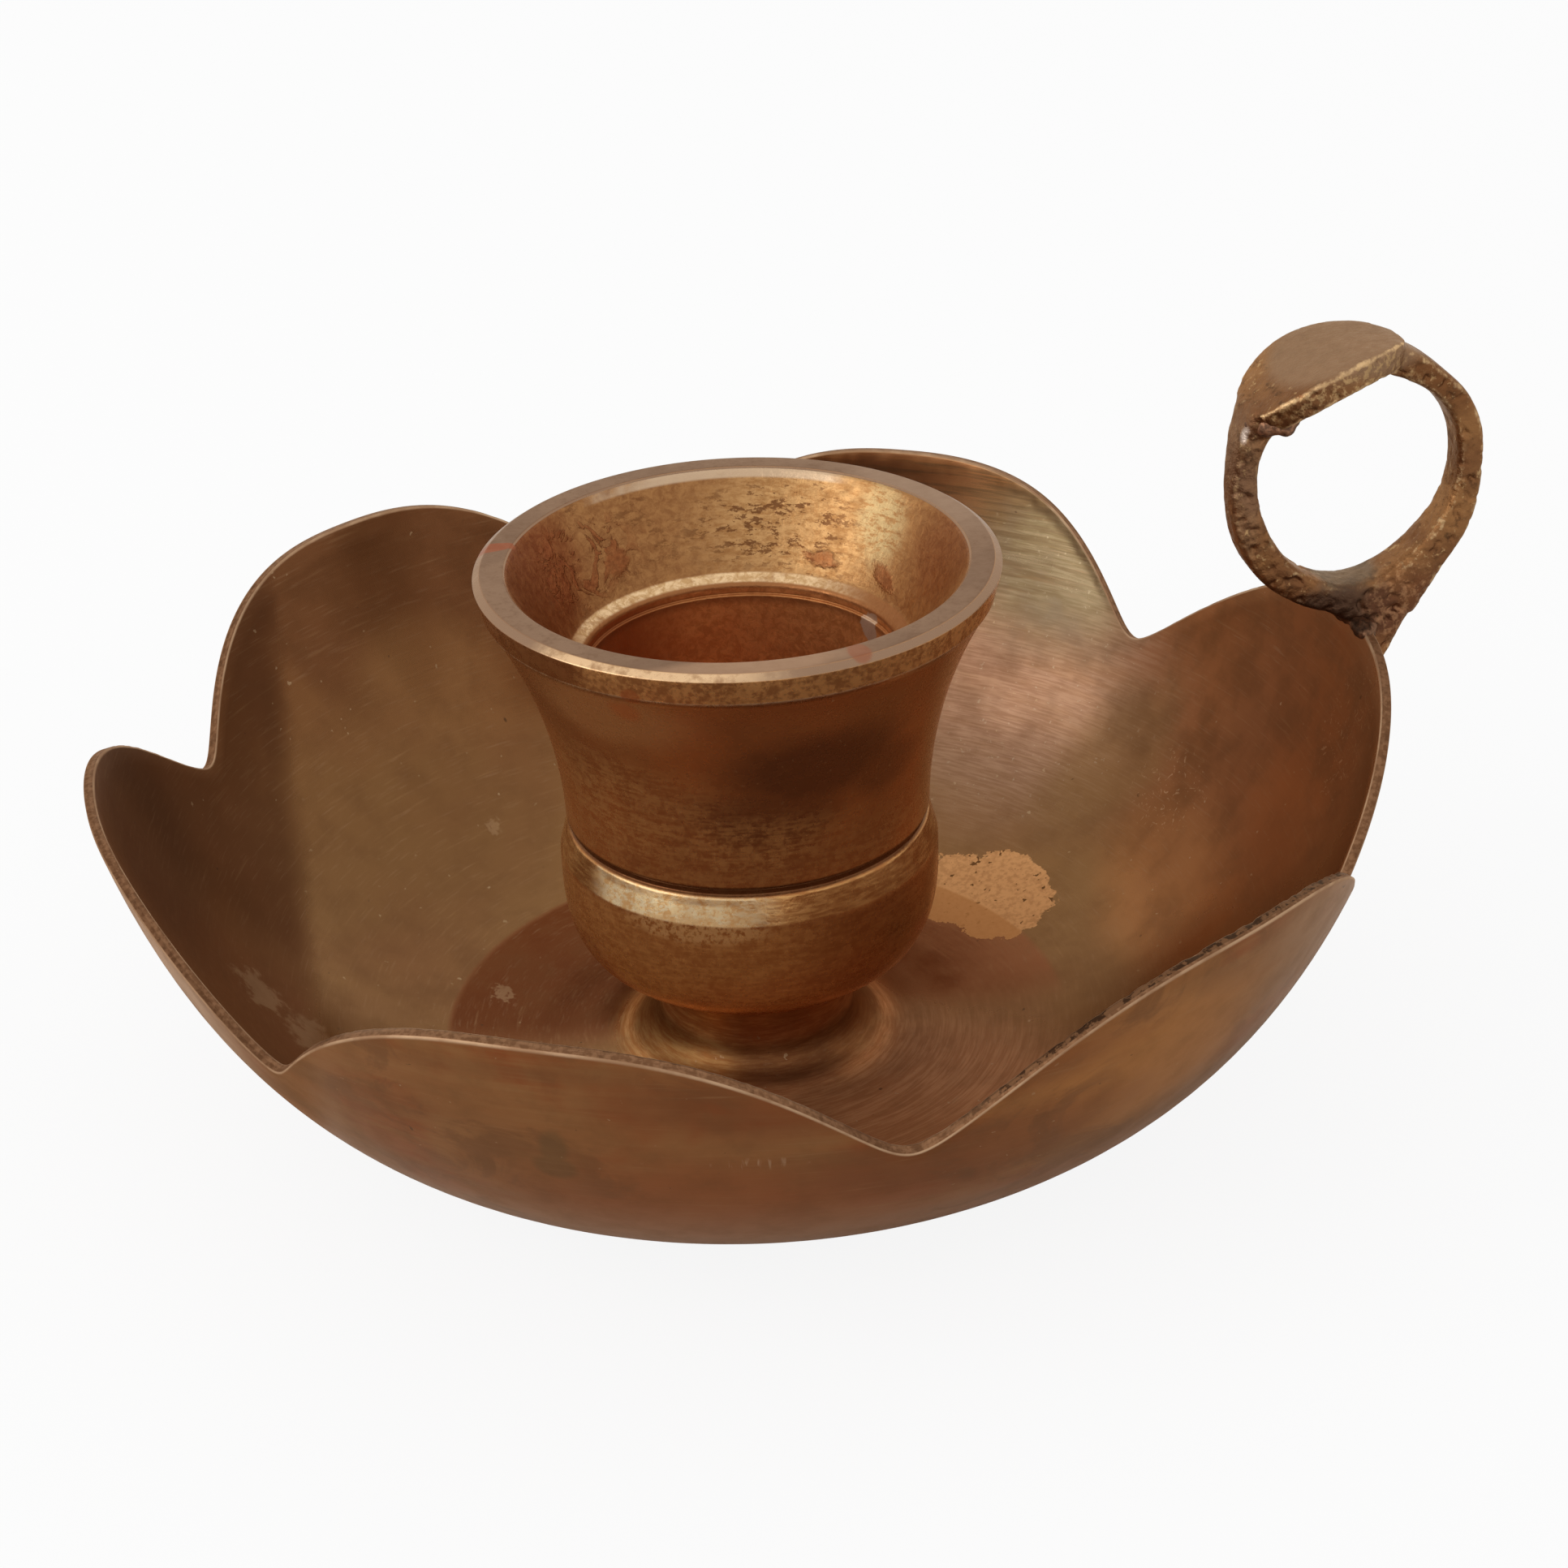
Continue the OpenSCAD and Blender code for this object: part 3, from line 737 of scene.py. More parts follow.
    def beyond(self, point, way, soft):
        """1 past a plane through a point, given in millimetres, on the side it points to."""
        offset = self.vector("SUBTRACT", self.place, tuple(v * MM for v in point))
        past = self.vector("DOT_PRODUCT", offset, tuple(Vector(way).normalized()))
        return self.ramp(past, -soft * MM / 2, soft * MM / 2)

    def part(self, share, mask):
        return self.math("MULTIPLY", mask, share)

    def done(self, colour, rough, normal, metal):
        values = {"Base Color": colour, "Roughness": rough, "Normal": normal, "Metallic": metal}
        values["Specular IOR Level"] = 0.1
        values["Specular Tint"] = tint(1, 0.85, 0.7)
        for key, value in values.items():
            self.put(self.shader.inputs[key], value)
        return self.material


def tint(red, green, blue):
    return (red, green, blue, 1)


def sheet_brass():
    """Aged, brushed sheet brass of the pan, with its turning marks, stains and sawn rim, and painted highlights, shade
    and reflections.
    """
    f = Finish("pan_brass")
    f.round_axis()
    depth = f.attribute("wall_depth")
    inside = f.ramp(depth, WALL * 0.45, WALL * 0.55)
    clouds = f.noise(38, 3, 0.55)
    mottle = f.noise(260, 4, 0.6)
    grain = f.noise(2400, 3, 0.6)
    brush = f.streaks(1100, 4, 3, 0.6)
    fine = f.streaks(3600, 9, 2, 0.6)

    # Patina inside: olive on the floor, redder up the side, dark up the left and the back and by the ring
    well = f.blend(f.ramp(f.height, 4 * MM, 22 * MM), tint(0.21, 0.102, 0.037), tint(0.225, 0.098, 0.033))
    left = f.beyond((-33.8, 0, 0), (-1, 0.08, 0), 2.6)
    well = f.blend(f.all_of(left, f.beyond((0, 8, 0), (0, 1, 0), 9), f.ramp(mottle, 0.2, 0.5, 0.7, 0.9)), well, tint(0.13, 0.048, 0.016))
    well = f.blend(f.all_of(left, f.beyond((0, 8, 0), (0, -1, 0), 9)), well, tint(0.2, 0.08, 0.03))
    tip = f.spot((-43.5, 6, 22), (6, 10, 9), 0.9, 0.3, 120)
    well = f.blend(tip, well, tint(0.68, 0.68, 0.75), "MULTIPLY")
    pale = f.spot((-17, 37.6, 15.5), (8, 5, 5.5), 0.9, 0.4, 120)
    back = f.any_of(
        f.spot((-22, 39, 24), (17, 9, 11), 0.5, 0.3, 120),
        f.spot((-2, 42, 26), (16, 8, 9), 0.6, 0.3, 120),
        f.part(0.6, f.spot((-31, 32, 24), (5, 7, 9), 0.9, 0.3, 120)),
    )
    well = f.blend(f.part(0.85, back), well, tint(0.115, 0.042, 0.015))
    well = f.blend(f.part(0.75, pale), well, tint(0.26, 0.12, 0.043))
    right = f.any_of(f.spot((45, 0, 16), (10, 20, 16), 0.8, 0.3, 120), f.spot((41, 17, 20), (8, 9, 12), 0.7, 0.4, 120))
    warm = f.spot((39, 7, 13), (8.5, 13, 12), 0.9, 0.4, 120)
    well = f.blend(f.part(0.8, warm), well, tint(0.21, 0.08, 0.028))
    well = f.blend(f.part(0.85, right), well, f.blend(f.ramp(mottle, 0.35, 0.65), tint(0.25, 0.088, 0.03), tint(0.2, 0.071, 0.024)))
    # Painted light low on the right side
    lit = f.spot((34, -1, 7), (6, 9, 7), 0.9, 0.4, 120)
    well = f.blend(f.part(0.65, lit), well, tint(0.39, 0.155, 0.05))
    low_right = f.spot((40.5, -5, 14), (5, 7, 5), 0.9, 0.4, 120)
    well = f.blend(f.part(0.6, low_right), well, tint(0.33, 0.12, 0.04))
    behind_lip = f.spot((24.5, 38, 27.5), (7, 6, 4.5), 0.9, 0.4, 120)
    well = f.blend(f.part(0.7, behind_lip), well, tint(0.42, 0.2, 0.085))
    smoked = f.spot((-25, 27, 9), (13, 15, 9), 0.9, 0.4, 120)
    well = f.blend(f.part(0.45, smoked), well, tint(0.145, 0.068, 0.024))
    foot = f.spot((34.3, 20.4, 13.4), (4, 4.5, 4), 0.9, 0.4, 150)
    well = f.blend(f.part(0.7, foot), well, tint(0.36, 0.18, 0.075))
    well = f.blend(f.ramp(clouds, 0.45, 0.7, 0, 0.5), well, tint(0.17, 0.066, 0.026))

    # Painted shade and reflection of the cup: redder and darker in a circle round it behind its foot, darkest to the
    # left, with brushed rings in front of the pedestal
    cup_shade_circle = f.all_of(f.ramp(f.radius, 24 * MM, 23.3 * MM), f.ramp(f.height, 6 * MM, 4 * MM))
    shaded = f.all_of(cup_shade_circle, f.beyond((0, 0.5, 0), (0.12, 1, 0), 6))
    unlit = f.beyond((6, 0, 0), (-1, 0.2, 0), 9)
    rings = f.all_of(f.ramp(f.radius, 30 * MM, 10 * MM), f.ramp(fine, 0.35, 0.75, 0, 0.5))
    well = f.blend(rings, well, tint(0.3, 0.14, 0.06))
    well = f.blend(f.part(0.85, shaded), well, f.blend(f.ramp(mottle, 0.3, 0.7), tint(0.23, 0.078, 0.03), tint(0.28, 0.105, 0.042)))
    well = f.blend(f.all_of(shaded, unlit), well, f.blend(f.ramp(mottle, 0.3, 0.7), tint(0.115, 0.028, 0.006), tint(0.145, 0.04, 0.01)))
    front = f.all_of(f.spot((5, -13, 1.3), (15, 12, 5), 0.8), f.ramp(f.radius, 8.5 * MM, 11 * MM))
    scored = f.ramp(f.streaks(4200, 4, 4, 0.7), 0.4, 0.64)
    well = f.blend(f.part(0.9, front), well, f.blend(f.part(0.6, scored), tint(0.3, 0.118, 0.046), tint(0.5, 0.23, 0.105)))
    # Pedestal: painted shade under the bowl, painted light on its left flank and a painted reflection on its right
    # flank, over turning marks; darker in the hollow of its flare
    pedestal = f.all_of(f.ramp(f.radius, 14 * MM, 10 * MM), f.ramp(f.height, 1.3 * MM, 1.8 * MM))
    flank = f.blend(scored, tint(0.35, 0.13, 0.05), tint(0.5, 0.22, 0.09))
    flank = f.blend(f.beyond((-4, -6, 0), (-1, -0.2, 0), 3), flank, f.blend(scored, tint(0.7, 0.29, 0.09), tint(0.96, 0.54, 0.21)))
    flank = f.blend(f.beyond((5, -5, 0), (1, -0.2, 0), 3), flank, f.blend(scored, tint(0.62, 0.25, 0.09), tint(0.84, 0.4, 0.16)))
    curl = f.all_of(f.ramp(f.height, 1.6 * MM, 2.1 * MM), f.ramp(f.height, 4.6 * MM, 3.7 * MM))
    flank = f.blend(curl, flank, tint(0.42, 0.38, 0.33), "MULTIPLY")
    well = f.blend(f.part(0.85, pedestal), well, flank)

    # Painted highlights inside on the right and the back, pink over brushed streaks and silvery on the back petal, with
    # painted glints and a band of painted shade; dark brush streaks on the back petal
    hair = f.streaks(6500, 16, 3, 0.6)
    brushing_and_highlight = f.spot((29.5, 26.5, 13), (14, 12, 9), 1.2, 0.4, 150)
    highlight_streaks = f.blend(f.ramp(hair, 0.38, 0.62), tint(0.27, 0.145, 0.087), tint(0.36, 0.21, 0.13))
    well = f.blend(f.all_of(brushing_and_highlight, f.ramp(brush, 0.2, 0.6, 0.6, 0.85)), well, highlight_streaks)
    shade = f.spot((33.5, 16, 11), (9, 4, 7), 0.9, 0.5, 200)
    well = f.blend(f.part(0.6, shade), well, tint(0.2, 0.1, 0.036))
    silver_highlight = f.spot((34, 29.5, 22.5), (8, 8, 6.5), 1, 0.4, 200)
    metal = f.blend(f.ramp(hair, 0.38, 0.62), tint(0.165, 0.13, 0.068), tint(0.215, 0.175, 0.1))
    metal = f.blend(f.ramp(mottle, 0.5, 0.7, 0, 0.6), metal, tint(0.27, 0.24, 0.16))
    well = f.blend(f.part(0.8, silver_highlight), well, metal)
    sparkle = f.all_of(f.any_of(silver_highlight, brushing_and_highlight), f.ramp(grain, 0.64, 0.72))
    well = f.blend(f.part(0.4, sparkle), well, tint(0.45, 0.36, 0.24))
    petal = f.spot((28, 34, 25), (14, 10, 7), 0.8)
    well = f.blend(f.all_of(petal, f.ramp(f.streaks(2600, 6, 3, 0.6), 0.45, 0.6, 0, 0.6)), well, tint(0.13, 0.08, 0.038))
    well = f.blend(f.ramp(hair, 0.55, 0.75, 0, 0.3), well, tint(0.3, 0.17, 0.09))

    # Scuffs low on the left, flecks on the floor and scratches by the ring
    scuffs = f.any_of(
        f.spot((-37.3, 2.2, 10), (2.6, 2, 1.5), 0.6, 3.4, 800),
        f.spot((-33.9, -0.5, 6.8), (2.4, 2.6, 1.4), 0.8, 3, 800),
        f.part(0.6, f.spot((-18.2, 9.6, 1.7), (0.7, 1, 1), 0.6, 4.4, 2200)),
        f.part(0.5, f.spot((-15.2, 28.9, 5.9), (0.5, 0.6, 1), 0.6, 4.4, 2200)),
    )
    well = f.blend(f.part(0.7, scuffs), well, tint(0.36, 0.215, 0.11))
    scratched = f.ramp(f.noise(900, 3, 0.6, twist=3), 0.6, 0.66)
    scratched = f.all_of(scratched, f.any_of(f.spot((44.4, -8, 23), (3, 5, 7), 0.6), f.spot((36.9, 9.4, 10.7), (4, 4, 3), 0.6)))
    well = f.blend(f.part(0.5, scratched), well, tint(0.46, 0.27, 0.14))

    # Patina outside: brown gold with red blotches and brush marks round the pan
    blotch = f.ramp(f.noise(75, 4, 0.6, twist=0.5), 0.45, 0.6)
    outside = f.blend(blotch, tint(0.25, 0.1, 0.034), tint(0.235, 0.066, 0.02))
    outside = f.blend(f.ramp(brush, 0.42, 0.68, 0, 0.5), outside, tint(0.28, 0.13, 0.047))
    bands = f.ramp(f.streaks(240, 1.6, 3, 0.5), 0.42, 0.62, 0, 0.55)
    outside = f.blend(bands, outside, tint(0.175, 0.076, 0.028))
    gold = f.spot((17, -43, 19.5), (12, 7, 7), 0.9, 0.5, 150)
    outside = f.blend(f.part(0.75, gold), outside, tint(0.41, 0.165, 0.045))
    outside = f.blend(f.all_of(f.beyond((32, -36, 20), (1, 0, 0.4), 14), f.ramp(brush, 0.2, 0.6, 0.5, 0.85)), outside, tint(0.35, 0.2, 0.11))
    ruddy = f.spot((-14, -40, 13), (15, 9, 6), 0.9, 0.6, 150)
    outside = f.blend(f.part(0.8, ruddy), outside, tint(0.25, 0.074, 0.023))
    rusty = f.any_of(f.spot((-4, -45, 25), (17, 5, 3.4), 0.8, 0.6, 150), f.spot((4, -43, 17.5), (11, 5, 4), 0.8, 0.8, 150))
    outside = f.blend(f.part(0.65, rusty), outside, tint(0.175, 0.05, 0.017))
    outside = f.blend(f.ramp(f.height, 15 * MM, 8 * MM, 0, 0.6), outside, tint(0.36, 0.19, 0.105))
    far_left = f.spot((-46, -11, 21), (7, 15, 15), 0.9, 0.4, 150)
    outside = f.blend(f.part(0.8, far_left), outside, tint(0.5, 0.33, 0.22))
    smudge = f.all_of(f.ramp(f.noise(140, 5, 0.65, twist=1), 0.5, 0.62), f.ramp(f.noise(60, 2), 0.45, 0.6))
    outside = f.blend(f.part(0.55, smudge), outside, tint(0.15, 0.058, 0.022))
    drip = f.any_of(f.spot((-22.3, -38.6, 17.4), (1.6, 1.5, 1.5), 0.5, 0.5), f.spot((-22.3, -39.5, 19.5), (0.9, 1.5, 2.4), 0.6, 0.5))
    outside = f.blend(f.part(0.5, drip), outside, tint(0.11, 0.062, 0.024))
    nicks = f.all_of(f.spot((-9.8, -43.6, 19.1), (2.2, 3, 0.6), 0.9, 2, 1200), f.ramp(f.streaks(400, 150, 2, 0.5), 0.57, 0.66))
    outside = f.blend(f.part(0.4, nicks), outside, tint(0.46, 0.3, 0.18))
    colour = f.blend(inside, outside, well)
    colour = f.blend(f.ramp(mottle, 0.4, 0.8, 0, 0.35), colour, tint(0.12, 0.05, 0.018))
    colour = f.blend(f.ramp(fine, 0.55, 0.85, 0, 0.25), colour, tint(0.34, 0.19, 0.085))

    # Small flecks of bare metal, and dark specks of dirt
    fleck = f.all_of(f.ramp(f.noise(1500, 2, 0.5), 0.73, 0.76), f.ramp(clouds, 0.45, 0.55))
    colour = f.blend(f.part(0.5, fleck), colour, tint(0.4, 0.27, 0.15))
    speck = f.ramp(f.noise(1000, 2, 0.5, twist=0.3), 0.24, 0.21)
    colour = f.blend(f.part(0.7, speck), colour, tint(0.06, 0.028, 0.012))

    # Bare patch that a splash has eaten into the patina, with painted shade of the cup over its part inside the circle
    # round the cup
    splash = f.any_of(
        f.spot((22.6, 10.8, 2.8), (4.6, 5.6, 4), 0.04, 0.75, 420),
        f.spot((19.6, 13, 2.4), (3.4, 4.6, 4), 0.04, 1.1, 700),
    )
    splash = f.all_of(splash, inside)
    bare = f.blend(f.ramp(grain, 0.4, 0.65), tint(0.58, 0.29, 0.115), tint(0.46, 0.22, 0.085))
    bare = f.blend(f.ramp(f.noise(1700, 2, 0.5), 0.65, 0.7), bare, tint(0.14, 0.06, 0.02))
    cup_shade_on_patch = f.ramp(f.radius, 23.8 * MM, 23.5 * MM)
    bare = f.blend(f.part(0.8, cup_shade_on_patch), bare, tint(0.44, 0.19, 0.062))
    colour = f.blend(splash, colour, bare)

    # Rim: brown sawn face between worn arrises with painted highlights, dark and notched towards the inside at the
    # front right
    rim = f.ramp(f.attribute("side_share"), 0.9955, 0.9985)
    face = f.all_of(rim, f.ramp(depth, WALL * 0.08, WALL * 0.16), f.ramp(depth, WALL * 0.94, WALL * 0.86))
    colour = f.blend(rim, colour, f.blend(f.ramp(mottle, 0.35, 0.65), tint(0.33, 0.185, 0.1), tint(0.5, 0.32, 0.19)))
    colour = f.blend(face, colour, f.blend(f.ramp(grain, 0.4, 0.6), tint(0.17, 0.078, 0.036), tint(0.25, 0.125, 0.062)))
    nicked = f.all_of(face, f.ramp(f.noise(800, 4, 0.7), 0.55, 0.62))
    colour = f.blend(f.part(0.3, nicked), colour, tint(0.07, 0.03, 0.014))
    sawn = f.all_of(face, f.ramp(depth, WALL * 0.35, WALL * 0.45), f.spot((24, -41, 26), (22, 15, 18), 0.4))
    teeth = f.blend(f.ramp(f.noise(1300, 3, 0.7), 0.46, 0.54), tint(0.035, 0.015, 0.007), tint(0.15, 0.07, 0.032))
    colour = f.blend(f.part(0.95, sawn), colour, teeth)

    rough = f.ramp(mottle, 0.3, 0.7, 0.17, 0.24)
    rough = f.math("ADD", rough, f.part(0.2, f.any_of(f.part(0.8, brushing_and_highlight), rim, splash, pedestal)))
    rough = f.math("ADD", rough, f.part(0.16, f.math("SUBTRACT", 1, inside)))
    rough = f.math("ADD", rough, f.part(0.26, f.any_of(front, left)))
    rough = f.math("ADD", rough, f.part(0.14, f.any_of(right, warm)))
    waves = f.bump(clouds, 0.2 * MM)
    lines = f.bump(fine, 0.004 * MM, waves)
    matt = f.all_of(inside, f.any_of(front, f.part(0.5, left), f.part(0.3, right)))
    return f.done(colour, rough, lines, f.math("SUBTRACT", 0.85, f.part(0.5, matt)))


def turned_brass():
    """Reddish patina on the turned cup, with golden rubs in places, painted highlights and a painted dark reflection,
    and wax left in its mouth.
    """
    f = Finish("cup_brass")
    f.round_axis()
    clouds = f.noise(90, 3, 0.55)
    mottle = f.noise(850, 4, 0.65)
    grain = f.noise(2600, 3, 0.65)
    lines = f.streaks(4600, 9, 3, 0.6)
    speckled = f.math("ADD", f.part(0.4, mottle), f.part(0.6, grain))

    # Body: red brown with a painted dark reflection across its front, rubbed to gold in mottled places on its lower
    # half
    body = f.blend(f.ramp(clouds, 0.35, 0.65), tint(0.46, 0.165, 0.05), tint(0.36, 0.135, 0.044))
    dark_reflection = f.any_of(
        f.spot((1.8, -14.8, 31), (6.5, 4, 3.2), 0.9, 0.5, 300),
        f.part(0.8, f.spot((-1.5, -14, 27.3), (5.5, 4, 2.6), 0.9, 0.5, 300)),
        f.part(0.7, f.spot((7, -12.8, 29.3), (3.4, 4, 2.2), 0.9, 0.5, 300)),
    )
    upper = f.all_of(f.ramp(f.height, 35.5 * MM, 37.5 * MM, 0, 0.7), f.beyond((-4, -14, 36), (1, 0, 0), 8))
    body = f.blend(upper, body, tint(0.36, 0.12, 0.036))
    lighter = f.any_of(f.spot((-11.5, -11, 36), (6, 6, 3), 0.9, 0.4), f.part(0.8, f.beyond((11, -8, 28), (1, 0.1, 0), 3)))
    body = f.blend(f.part(0.7, lighter), body, tint(0.6, 0.3, 0.115))
    body = f.blend(f.part(0.85, dark_reflection), body, tint(0.19, 0.07, 0.028))
    rub = f.any_of(
        f.spot((-10.8, -9, 26.6), (8, 7, 4.6), 1.1, 0.5, 300),
        f.spot((-4.4, -13.3, 24.6), (9, 4, 2.6), 1.1, 0.5, 300),
        f.part(0.6, f.ramp(f.height, 27 * MM, 22.5 * MM)),
    )
    scuffed = f.math("ADD", f.part(0.6, speckled), f.part(0.4, lines))
    body = f.blend(f.all_of(rub, f.ramp(scuffed, 0.42, 0.58, 0, 0.75)), body, tint(0.62, 0.32, 0.115))
    body = f.blend(f.ramp(grain, 0.66, 0.74, 0, 0.5), body, tint(0.62, 0.4, 0.2))

    bowl = f.ramp(f.height, 18.4 * MM, 17.8 * MM)
    low = f.blend(f.ramp(scuffed, 0.4, 0.62), tint(0.46, 0.195, 0.062), tint(0.66, 0.34, 0.122))
    low = f.blend(f.beyond((1.5, -14, 14), (1, 0.25, 0), 9), low, f.blend(f.ramp(scuffed, 0.4, 0.62), tint(0.29, 0.098, 0.03), tint(0.4, 0.16, 0.052)))
    low = f.blend(f.ramp(f.height, 12 * MM, 9 * MM, 0, 0.8), low, tint(0.7, 0.255, 0.075))
    body = f.blend(bowl, body, low)
    # Bead: its worn slope gets a painted highlight at the front left and is duller elsewhere
    slope = f.all_of(f.ramp(f.height, 18.2 * MM, 18.4 * MM), f.ramp(f.height, 20.4 * MM, 20.25 * MM))
    wear_and_highlight = f.blend(f.ramp(speckled, 0.42, 0.54), tint(0.86, 0.52, 0.215), tint(1, 0.76, 0.41))
    wear_and_highlight = f.blend(f.ramp(f.streaks(3400, 24, 3, 0.7), 0.5, 0.56, 0, 0.8), wear_and_highlight, tint(1, 0.84, 0.53))
    dull = f.any_of(
        f.beyond((-2.6, -14, 19), (1, 0.3, 0), 4.5),
        f.beyond((-12.6, -6, 19), (-1, 0.5, 0), 2.5),
        f.part(0.5, f.ramp(f.height, 19.6 * MM, 19.9 * MM)),
    )
    bead_highlight = f.math("SUBTRACT", slope, f.math("MULTIPLY", slope, dull))
    wear_and_highlight = f.blend(dull, wear_and_highlight, f.blend(f.ramp(lines, 0.4, 0.65), tint(0.38, 0.16, 0.05), tint(0.6, 0.32, 0.115)))
    body = f.blend(slope, body, wear_and_highlight)
    side = f.all_of(f.spot((-7.5, -12.3, 17.8), (6, 4, 1), 0.6, 0.5, 500), f.ramp(grain, 0.42, 0.52))
    body = f.blend(f.part(0.7, side), body, tint(0.86, 0.56, 0.26))
    groove = f.all_of(f.ramp(f.height, 20.3 * MM, 20.45 * MM), f.ramp(f.height, 21.35 * MM, 21.15 * MM))
    body = f.blend(f.part(0.85, groove), body, tint(0.09, 0.03, 0.012))

    # Band under the lip: olive gold, with a light line along its lower edge
    band = f.ramp(f.height, 38.25 * MM, 38.35 * MM)
    gold = f.blend(f.ramp(speckled, 0.42, 0.56), tint(0.46, 0.195, 0.063), tint(0.74, 0.36, 0.122))
    gold = f.blend(f.part(0.85, f.beyond((-13.8, -12, 39), (-1, 0.3, 0), 2)), gold, tint(0.27, 0.09, 0.028))
    body = f.blend(band, body, gold)
    edge = f.all_of(f.ramp(f.height, 38.1 * MM, 38.2 * MM), f.ramp(f.height, 38.45 * MM, 38.35 * MM))
    body = f.blend(f.all_of(edge, f.ramp(mottle, 0.35, 0.55, 0.3, 0.9)), body, tint(0.7, 0.46, 0.26))

    # Lip: grey brown flat top between bevels, with painted highlights on the bevels and the flat's front, brightest at
    # the front left
    flat = f.ramp(f.height, 40.62 * MM, 40.68 * MM)
    bevels = f.all_of(f.ramp(f.height, 40.2 * MM, 40.3 * MM), f.math("SUBTRACT", 1, flat))
    grey = f.blend(f.ramp(clouds, 0.35, 0.65), tint(0.2, 0.115, 0.07), tint(0.25, 0.148, 0.09))
    body = f.blend(flat, body, f.blend(f.ramp(speckled, 0.5, 0.62, 0, 0.5), grey, tint(0.18, 0.098, 0.055)))
    lip_highlight = f.all_of(flat, f.spot((-5.5, -17.3, 40.7), (9.5, 1.7, 2), 0.7, 0.5, 300))
    body = f.blend(f.part(0.6, lip_highlight), body, tint(0.44, 0.26, 0.155))
    right = f.all_of(flat, f.spot((15.6, 8, 40.7), (5, 8, 2), 0.8, 0.5))
    body = f.blend(f.part(0.8, right), body, tint(0.34, 0.22, 0.145))
    bevel_highlight = f.spot((-9.5, -14.5, 40.4), (9, 6, 2), 0.7, 0.5)
    edge = f.blend(bevel_highlight, tint(0.3, 0.18, 0.11), f.blend(f.ramp(mottle, 0.3, 0.55), tint(0.44, 0.25, 0.125), tint(0.76, 0.5, 0.28)))
    body = f.blend(bevels, body, edge)

    # Mouth: golden and pitted at the back with a painted highlight and glare at the back right, brown to the sides,
    # redder where wax has soaked in
    inner = f.ramp(f.attribute("inside"), 0.4, 0.6)
    scratched = f.noise(1500, 5, 0.75, twist=0.6)
    mouth = f.blend(f.ramp(scratched, 0.35, 0.65), tint(0.25, 0.104, 0.036), tint(0.36, 0.17, 0.06))
    dashes = f.streaks(2600, 15, 4, 0.75)
    # Painted highlight at the back right of the mouth
    bright = f.spot((8.5, 11.5, 37.5), (8.5, 7, 5), 0.8, 0.5, 300)
    mouth = f.blend(f.part(0.85, bright), mouth, f.blend(f.ramp(dashes, 0.38, 0.6), tint(0.37, 0.18, 0.062), tint(0.55, 0.31, 0.125)))
    sides = f.spot((16.4, -1, 37.5), (3, 6, 5), 0.7, 0.4, 300)
    reddened = f.spot((-14, 5.5, 37.5), (5, 9.5, 5), 0.7, 0.4, 300)
    mouth = f.blend(f.part(0.75, sides), mouth, f.blend(f.ramp(scratched, 0.35, 0.65), tint(0.165, 0.046, 0.014), tint(0.245, 0.085, 0.028)))
    mouth = f.blend(f.part(0.85, reddened), mouth, f.blend(f.ramp(scratched, 0.35, 0.65), tint(0.15, 0.028, 0.006), tint(0.22, 0.062, 0.018)))
    glare = f.all_of(f.spot((12.9, 8, 38.2), (1.6, 2.4, 4), 0.9, 0.5, 400), f.ramp(dashes, 0.4, 0.54, 0.1, 0.75))
    mouth = f.blend(glare, mouth, tint(0.5, 0.36, 0.17))
    pitted = f.any_of(f.spot((6, 12.6, 37.3), (7, 5, 3.2), 0.8, 0.6, 300), f.ramp(clouds, 0.56, 0.66, 0, 0.6))
    pits = f.all_of(f.ramp(f.streaks(1900, 11, 5, 0.75), 0.535, 0.57), pitted)
    mouth = f.blend(f.part(0.85, pits), mouth, tint(0.13, 0.045, 0.015))
    wrinkled = f.all_of(f.spot((-10, 11, 37), (6, 5, 2.6), 0.6, 0.6), f.ramp(f.noise(420, 4, 0.6, twist=2), 0.5, 0.56))
    soaked = f.any_of(
        wrinkled,
        f.spot((-6.5, 12, 36), (1, 2, 0.9), 0.5, 1.2, 700),
        f.spot((8.6, 9.8, 35), (1, 2, 0.5), 0.6, 2.4, 700),
        f.spot((12.3, 5.8, 35), (0.5, 2.4, 0.9), 0.6, 2.4, 700),
    )
    mouth = f.blend(f.part(0.65, soaked), mouth, f.blend(f.ramp(grain, 0.4, 0.6), tint(0.17, 0.04, 0.012), tint(0.28, 0.082, 0.026)))
    body = f.blend(inner, body, mouth)
